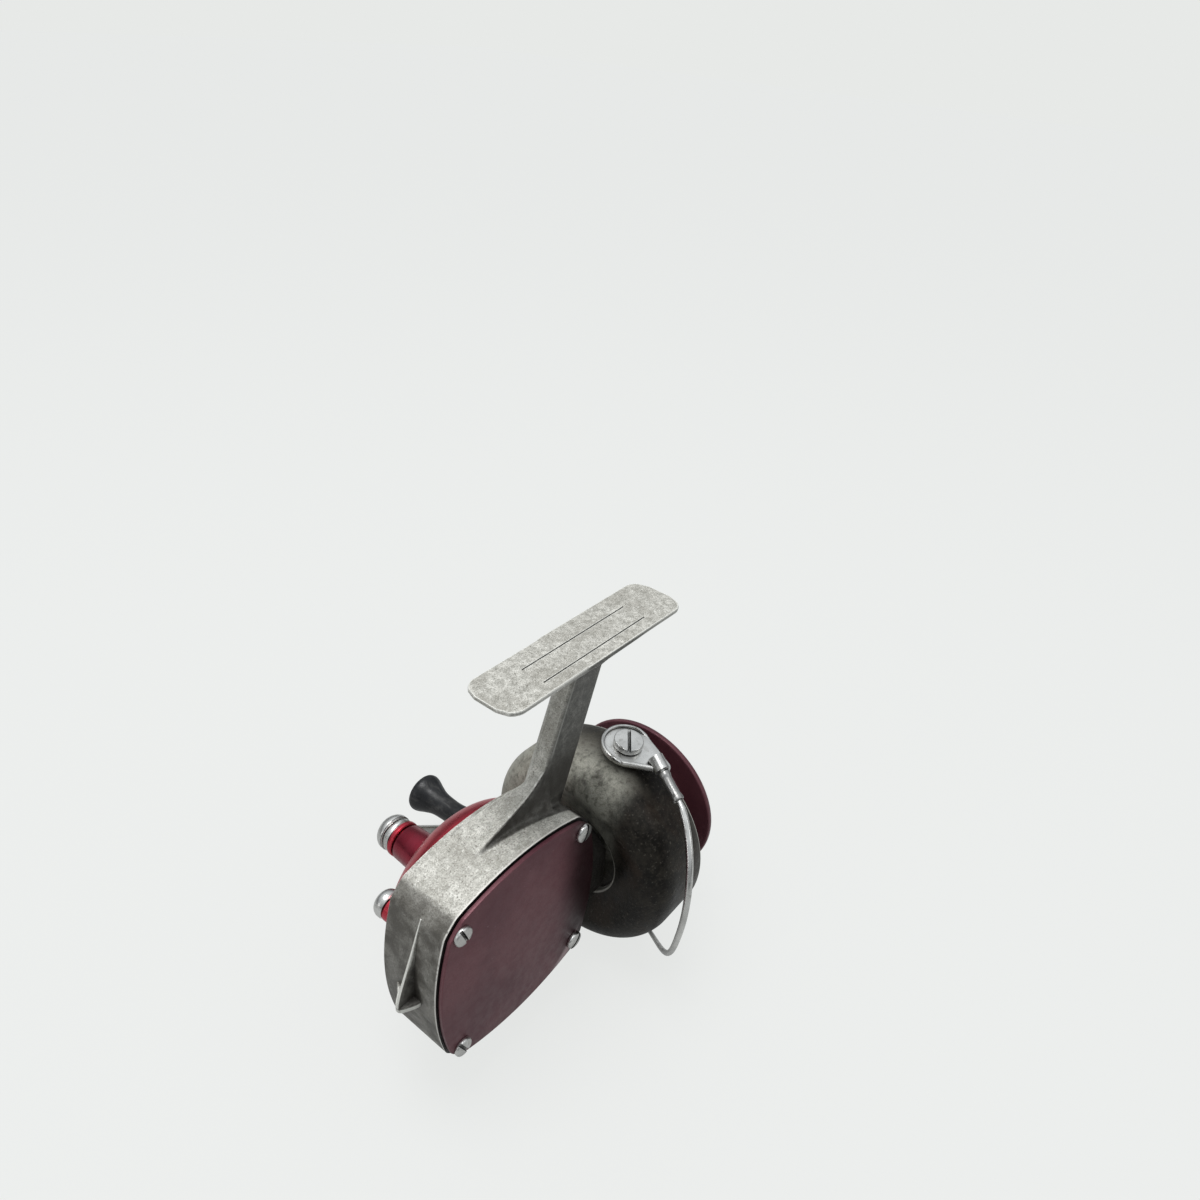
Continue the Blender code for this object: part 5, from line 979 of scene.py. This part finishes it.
def handle():
    """The collar and the domed nut on the crank's shaft, and the arm."""
    ring = mm((2.5, 33.6), (5.0, 33.6), (5.25, 33.85), (5.3, 34.4), (5.25, 34.95), (5.0, 35.2), (2.5, 35.2))
    collar = turned("crimson_collar", ring, CRANK @ ALONG_Y, "crimson_cover")
    dress(collar, "crank", "crimson_cover", "handle_collar")
    crown = [(5.2 * MM * math.sin(a), 0.8 * MM + 3.6 * MM * math.cos(a)) for a in quarter(20, 1)]
    flange = mm((5.15, 0.5), (4.95, 0.42), (4.95, 0.34), (5.2, 0.25), (5.2, 0.05), (5.1, 0.0), (0.0, 0.0))
    place = CRANK @ ALONG_Y @ Matrix.Translation((0, 0, 37.4 * MM))
    nut = turned("handle_cap_nut", [(0.0, 4.4 * MM)] + crown + flange, place, "nickel_plate")
    dress(nut, "crank", "nickel_plate", "handle_nut")
    handle_arm()


def handle_arm():
    """The flat bar with two round ends, bent outward so that it clears the open bail."""
    steps = 64
    hub = 5.0 * MM
    eye = 4.0 * MM
    narrowest = 0.15 * MM
    rim = 0.4 * MM
    thick = 0.8 * MM
    first = -hub
    final = ARM_LENGTH + eye
    slope = CRANK @ Matrix.Rotation(ARM_SLOPE, 4, "Y")
    sections = []
    for step in range(steps + 1):
        along = first + (final - first) * (0.5 - 0.5 * math.cos(math.pi * step / steps))
        half = 3.0 * MM
        if along < 4.0 * MM:
            half = max(narrowest, math.sqrt(max(0.0, hub**2 - along**2)))
        elif along > ARM_LENGTH - 2.65 * MM:
            half = max(narrowest, math.sqrt(max(0.0, eye**2 - (along - ARM_LENGTH) ** 2)))
        outward = 5.75 * MM * min(1.0, max(0.0, (along - 20.0 * MM) / (11.0 * MM)))
        middle = 36.3 * MM + outward
        inner = max(0.05 * MM, half - rim)
        side = [(half, rim - thick), (half, thick - rim), (inner, thick)]
        other = [(-inner, thick), (-half, thick - rim), (-half, rim - thick)]
        outline = side + other + [(-inner, -thick), (inner, -thick)]
        sections.append(placed(slope, [(along, middle + depth, across) for across, depth in outline]))
    mesh = bmesh.new()
    lofted(mesh, sections)
    arm = piece("handle_arm", mesh, Matrix(), "nickel_plate", 40.0)
    dress(arm, "crank", "nickel_plate", "crank_arm")


def handle_knob():
    """The waisted knob and the rivet that it turns on."""
    length = 21.25 * MM
    flank = flowing([(radius * MM, share * length) for share, radius in KNOB_FLANK])
    end = raised(length, (4.6, 0.05), (3.5, -0.1), (3.3, -0.4), (3.3, -2.4), (2.1, -2.4))
    place = KNOB @ ALONG_Y @ Matrix.Translation((0, 0, 43.15 * MM))
    knob = turned("black_handle_knob", flank + end + [(2.1 * MM, 0.0)], place, "black_knob")
    dress(knob, "knob", "black_knob", "handle_knob")
    shank = length - 2.1 * MM
    head = raised(shank, (0.0, 1.35), (1.4, 1.28), (2.4, 0.95), (2.95, 0.4), (3.0, 0.0), (1.8, 0.0))
    pin = head + mm((1.8, -2.2), (2.8, -2.2), (3.0, -2.35), (2.4, -2.6), (0.0, -2.6))
    dress(turned("knob_rivet", pin, place, "nickel_plate", 48), "crank", "nickel_plate", "knob_spindle")


def switch_knob():
    top = 2.5 * MM
    crown = [(3.8 * MM * math.sin(a), top - 2.2 * MM * (1 - math.cos(a))) for a in quarter(14, 1, 13)]
    shank = mm((3.9, 0.2), (3.9, -0.9), (3.5, -1.6), (1.4, -1.8), (1.4, -10.1), (0.0, -10.1))
    place = SWITCH @ ALONG_Y @ Matrix.Translation((0, 0, 19.3 * MM))
    button = turned("switch_button", [(0.0, top)] + crown + shank, place, "nickel_plate", 64)
    dress(button, "anti_reverse", "nickel_plate", "anti_reverse_knob")


# Rotor and bail


def round_shoulder(outside, rear, radius, count):
    """The quarter circle from the rotor's back wall to its side."""
    bends = quarter(count)
    return [(outside - radius * (1 - math.sin(a)), rear + radius * (1 - math.cos(a))) for a in bends]


def rotor():
    """The cup with its dished back, its two bail ears and their pivot screws."""
    rear = 31.6 * MM
    radius = 31.6 * MM
    shoulder = 8.2 * MM
    wall = 2.0 * MM
    dish = rear + 2.9 * MM
    mouth = mm((29.4, 52.1), (29.6, 52.4), (31.2, 52.4), (31.4, 51.9))
    outside = round_shoulder(radius, rear, shoulder, 24)
    inside = round_shoulder(radius - wall, rear + wall, shoulder - wall, 12)
    shares = [index / 12 for index in range(1, 12)]
    slope = [(23.4 * MM - (23.4 - 14.3) * MM * t, rear + 2.9 * MM * (t**1.25)) for t in shares]
    recess = raised(dish, (14.3, 0.0), (14.0, 0.15), (13.9, 0.5)) + mm((13.9, 36.1), (13.6, 36.4))
    hub = mm((3.9, 36.4), (3.9, 39.2), (8.0, 39.2), (15.9, 37.4)) + [(15.9 * MM, dish + wall)]
    profile = mouth + outside[::-1] + slope + recess + hub + inside[1:]
    cup = turned("rotor_bell", profile, ROTOR, "rotor_metal", 192)
    for end in (NEAR_PIVOT, FAR_PIVOT):
        carve(cup, round_tool(5.2 * MM, 28.8 * MM, 32.6 * MM, end), operation="UNION")
    for end in (NEAR_PIVOT, FAR_PIVOT):
        carve(cup, round_tool(1.8 * MM, 24.0 * MM, 34.0 * MM, end, 32))
    dress(cup, "rotor", "rotor_metal", "rotor_cup")
    near = ("bail_screw_near", NEAR_PIVOT, "bail_pivot_screw")
    far = ("bail_screw_far", FAR_PIVOT, "bail_far_pivot_screw")
    for name, end, node in (near, far):
        place = end @ Matrix.Translation((0, 0, 34.4 * MM)) @ Matrix.Rotation(-0.9, 4, "Z")
        slotted_head(name, PIVOT_SCREW, place, "rotor", node)


def wire_point(angle):
    """The bail wire's curve in the bail's frame: X up the pivot, Y to the open side, Z forward."""
    up = math.sin(angle)
    out = math.cos(angle)
    power = 2 / 2.42
    twist = math.radians(-1.7)
    rise = 35.3 * MM * math.copysign(abs(up) ** power, up)
    reach = 37.4 * MM * abs(out) ** power
    sweep = 20.0 * MM * out**2 + 3.8 * MM * up
    side = reach * math.cos(twist) - sweep * math.sin(twist)
    ahead = 4.5 * MM - reach * math.sin(twist) - sweep * math.cos(twist)
    return Vector((rise, side, ahead))


def bail_wire(start, roller_end):
    """The wire from the roller round to the far arm, thinner on its way; gives the corner at its end."""
    steps = 90
    first = math.radians(ROLLER_END_ANGLE)
    span = math.radians(-83.0 - ROLLER_END_ANGLE)
    bend = [wire_point(first + span * index / steps) for index in range(steps + 1)]
    last = bend[-1]
    corner = Vector((last.x, last.y - 2.2 * MM, last.z))
    turn_in = [last.lerp(corner, 0.55), corner + Vector((0.25, 0.0, 0.0)) * MM]
    inward = [Vector((-34.2 * MM, corner.y, corner.z)), Vector((-32.0 * MM, corner.y, corner.z))]
    through_roller = [start, start.lerp(roller_end, 0.5), start.lerp(roller_end, 0.96)]
    rest = bend[1:] + turn_in + inward
    radii = [0.8 * MM] * 3
    radii += [1.05 * MM - 0.6 * MM * (index / (len(rest) - 1)) ** 1.5 for index in range(len(rest))]
    wire = swept("bail_wire_loop", [BAIL @ spot for spot in through_roller + rest], radii, "nickel_plate")
    dress(wire, "bail", "nickel_plate", "bail_wire")
    return corner


def raised_rim(place):
    """The rolled rim round the bracket's large end, open toward the wire."""
    steps = 48
    profile = [(7.0, 0.0), (7.25, 0.0), (7.5, 0.25), (7.45, 0.75)]
    profile += [(7.1, 0.95), (6.75, 0.8), (6.6, 0.4), (6.7, 0.0)]
    opening = math.radians(62.0)
    head = math.atan2(1.6, 11.3)
    sections = []
    for step in range(steps + 1):
        angle = head + opening + (2 * math.pi - 2 * opening) * step / steps
        fade = min(1.0, min(step, steps - step) / 6)
        ring = []
        for radius, height in profile:
            x = radius * MM * math.cos(angle)
            y = radius * MM * math.sin(angle)
            ring.append((x, y, (0.5 + (height - 0.1) * fade) * MM))
        sections.append(placed(place, ring))
    mesh = bmesh.new()
    lofted(mesh, sections)
    return mesh


def bail():
    """The wire, its roller, the bracket at the near pivot and the plain arm at the far one."""
    start = wire_point(math.radians(76.0))
    roller_end = wire_point(math.radians(ROLLER_END_ANGLE))
    corner = bail_wire(start, roller_end)
    length = 8.6
    direction = (roller_end - start).to_track_quat("Z", "Y").to_matrix().to_4x4()
    along = BAIL @ Matrix.Translation(start) @ direction
    begin = ((roller_end - start).length - length * MM) / 2
    waist = [(1.7, 0.0), (1.7, 1.1), (1.45, 1.9), (1.45, 6.7), (1.7, 7.5), (1.7, length)]
    shape = [(1.1, 0.0)] + waist + [(1.1, length)]
    sleeve = mm(*soften([(radius, begin / MM + height) for radius, height in shape], 0.25))
    dress(turned("roller_sleeve", sleeve, along, "dull_nickel", 64), "roller", "dull_nickel", "line_roller")
    middle = 33.5 * MM
    pivot_bore = (1.8 * MM, 30.0 * MM, 40.0 * MM)
    near = BAIL @ Matrix.Translation((middle, 0, 0)) @ UPWARD_PLATE
    outline = link_outline((0, 0), 7.4 * MM, (11.3 * MM, 1.6 * MM), 2.2 * MM)
    bracket = stamped("bail_bracket_plate", outline, 1.2 * MM, 0.3 * MM, near, "nickel_plate")
    socket = round_tool(2.2 * MM, -3.5 * MM, begin - 0.6 * MM, along, 48)
    bar = bmesh.new()
    edge = link_outline((3.2 * MM, -6.26 * MM), 0.55 * MM, (11.0 * MM, -0.75 * MM), 0.5 * MM, 12)
    layered(bar, edge, mm((0.0, 0.0), (0.0, 1.0), (0.08, 1.2), (0.3, 1.3)), near)
    carve(bracket, raised_rim(near), bar, socket, operation="UNION", sharp=40.0)
    carve(bracket, round_tool(*pivot_bore, NEAR_PIVOT, 32), sharp=40.0)
    dress(bracket, "bail", "nickel_plate", "bail_bracket")
    far = BAIL @ Matrix.Translation((-middle, 0, 0)) @ UPWARD_PLATE
    far_outline = link_outline((0, 0), 5.6 * MM, (corner.y, corner.z), 2.4 * MM)
    far_plate = stamped("bail_far_plate", far_outline, 1.2 * MM, 0.3 * MM, far, "nickel_plate")
    carve(far_plate, round_tool(*pivot_bore, FAR_PIVOT, 32), sharp=40.0)
    dress(far_plate, "bail", "nickel_plate", "bail_far_arm")


# Spool and drag


def flutes(angle, radius):
    """Twelve grip grooves in the drag knob's side."""
    if radius < 9.0 * MM:
        return 0.0
    return -0.75 * MM * max(0.0, math.cos(12 * angle)) ** 3


def spool():
    """The spool and the drag knob in front of it, turned from (radius, height) profiles."""
    profile = soften(mm(*SPOOL_PROFILE), 0.7 * MM, count=5)
    body = turned("maroon_spool", profile, GEARBOX @ ALONG_X, "maroon_plate", 160)
    dress(body, "spool_body", "maroon_plate", "spool")
    knob_profile = mm(*soften(DRAG_KNOB_PROFILE, 0.5, closed=False))
    knob = turned("drag_dial", knob_profile, GEARBOX @ ALONG_X, "black_knob", 240, flutes)
    dress(knob, "drag_adjuster", "black_knob", "drag_knob")


def inner_nodes():
    """The pieces kept from the frame get the finish of their slot."""
    for slot, names in KEPT_NODES.items():
        for name in names.split():
            for holder in frame["nodes"][name].material_slots:
                holder.material = LOOKS[slot]


# Stage


def stage():
    """A wide pale floor just under the reel, as light for the camera as the backdrop."""
    lowest = CAD_BOX[0][2]
    mesh = bmesh.new()
    bmesh.ops.create_grid(mesh, x_segments=8, y_segments=8, size=4.0)
    bmesh.ops.translate(mesh, vec=(0.0, 0.0, lowest - 0.5 * MM), verts=mesh.verts)
    made = bpy.data.meshes.new("pale_floor")
    mesh.to_mesh(made)
    mesh.free()
    floor = bpy.data.objects.new("pale_floor", made)
    bpy.context.scene.collection.objects.link(floor)
    look = bpy.data.materials.new("pale_floor")
    look.use_nodes = True
    tree = look.node_tree
    shader = tree.nodes["Principled BSDF"]
    shader.inputs["Base Color"].default_value = (0.35, 0.355, 0.35, 1.0)
    shader.inputs["Roughness"].default_value = 0.75
    rays = tree.nodes.new("ShaderNodeLightPath")
    mirrored = tree.nodes.new("ShaderNodeMath")
    mirrored.operation = "MULTIPLY"
    mirrored.inputs[1].default_value = 0.22
    tree.links.new(rays.outputs["Is Glossy Ray"], mirrored.inputs[0])
    share = tree.nodes.new("ShaderNodeMath")
    share.operation = "MULTIPLY_ADD"
    share.inputs[1].default_value = 0.75
    tree.links.new(rays.outputs["Is Camera Ray"], share.inputs[0])
    tree.links.new(mirrored.outputs[0], share.inputs[2])
    glow = tree.nodes.new("ShaderNodeEmission")
    glow.inputs["Color"].default_value = (0.975, 0.99, 0.975, 1.0)
    blended(tree, share.outputs[0], shader, glow, "Material Output")
    made.materials.append(look)


def blended(tree, share, first, second, output):
    """Mixes two shaders by a share and sends them to the tree's output."""
    blend = tree.nodes.new("ShaderNodeMixShader")
    tree.links.new(share, blend.inputs[0])
    tree.links.new(first.outputs[0], blend.inputs[1])
    tree.links.new(second.outputs[0], blend.inputs[2])
    tree.links.new(blend.outputs[0], tree.nodes[output].inputs["Surface"])


def world():
    """A sky that is brighter overhead; the camera sees an even pale backdrop in its place."""
    sky = bpy.data.worlds.new("studio")
    bpy.context.scene.world = sky
    sky.use_nodes = True
    tree = sky.node_tree
    light = tree.nodes["Background"]
    light.inputs["Color"].default_value = (0.93, 0.97, 1.0, 1.0)
    seen = tree.nodes.new("ShaderNodeBackground")
    seen.inputs["Color"].default_value = (0.8, 0.815, 0.8, 1.0)
    rays = tree.nodes.new("ShaderNodeLightPath")
    sky_place = tree.nodes.new("ShaderNodeTexCoord")
    split = tree.nodes.new("ShaderNodeSeparateXYZ")
    tree.links.new(sky_place.outputs["Generated"], split.inputs["Vector"])
    strength = tree.nodes.new("ShaderNodeMapRange")
    strength.interpolation_type = "SMOOTHSTEP"
    for name, value in (("From Min", -0.1), ("From Max", 1.0), ("To Min", 0.07), ("To Max", 1.0)):
        strength.inputs[name].default_value = value
    tree.links.new(split.outputs["Z"], strength.inputs["Value"])
    tree.links.new(strength.outputs["Result"], light.inputs["Strength"])
    blended(tree, rays.outputs["Is Camera Ray"], light, seen, "World Output")


def soft_light(name, place, width, power):
    """A round lamp that points at the reel."""
    lamp = bpy.data.lights.new(name, "AREA")
    lamp.shape = "DISK"
    lamp.size = width
    lamp.energy = power
    thing = bpy.data.objects.new(name, lamp)
    thing.location = place
    thing.rotation_mode = "QUATERNION"
    thing.rotation_quaternion = (Vector(LIT_SPOT) - Vector(place)).to_track_quat("-Z", "Y")
    bpy.context.scene.collection.objects.link(thing)


def camera():
    view = bpy.data.cameras.new("photo_view")
    view.lens = LENS
    view.sensor_width = SENSOR
    view.clip_start = 0.01
    thing = bpy.data.objects.new("photo_view", view)
    axes = Matrix(CAMERA_AXES).transposed().to_4x4()
    thing.matrix_world = Matrix.Translation(CAMERA_PLACE) @ axes
    bpy.context.scene.collection.objects.link(thing)
    bpy.context.scene.camera = thing


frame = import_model()
CAD_BOX = [list(corner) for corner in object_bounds()]

casting()
side_plate()
handle_cover()
handle()
handle_knob()
switch_knob()
rotor()
bail()
spool()
inner_nodes()
stage()
world()
soft_light("overhead", (-0.1, 0.1, 0.75), 0.4, 3.8)
soft_light("left_window", (-0.8, 0.25, 0.15), 0.35, 0.5)
soft_light("right_fill", (0.3, -0.7, 0.3), 0.4, 0.6)
camera()
bpy.context.scene.view_settings.view_transform = "Standard"
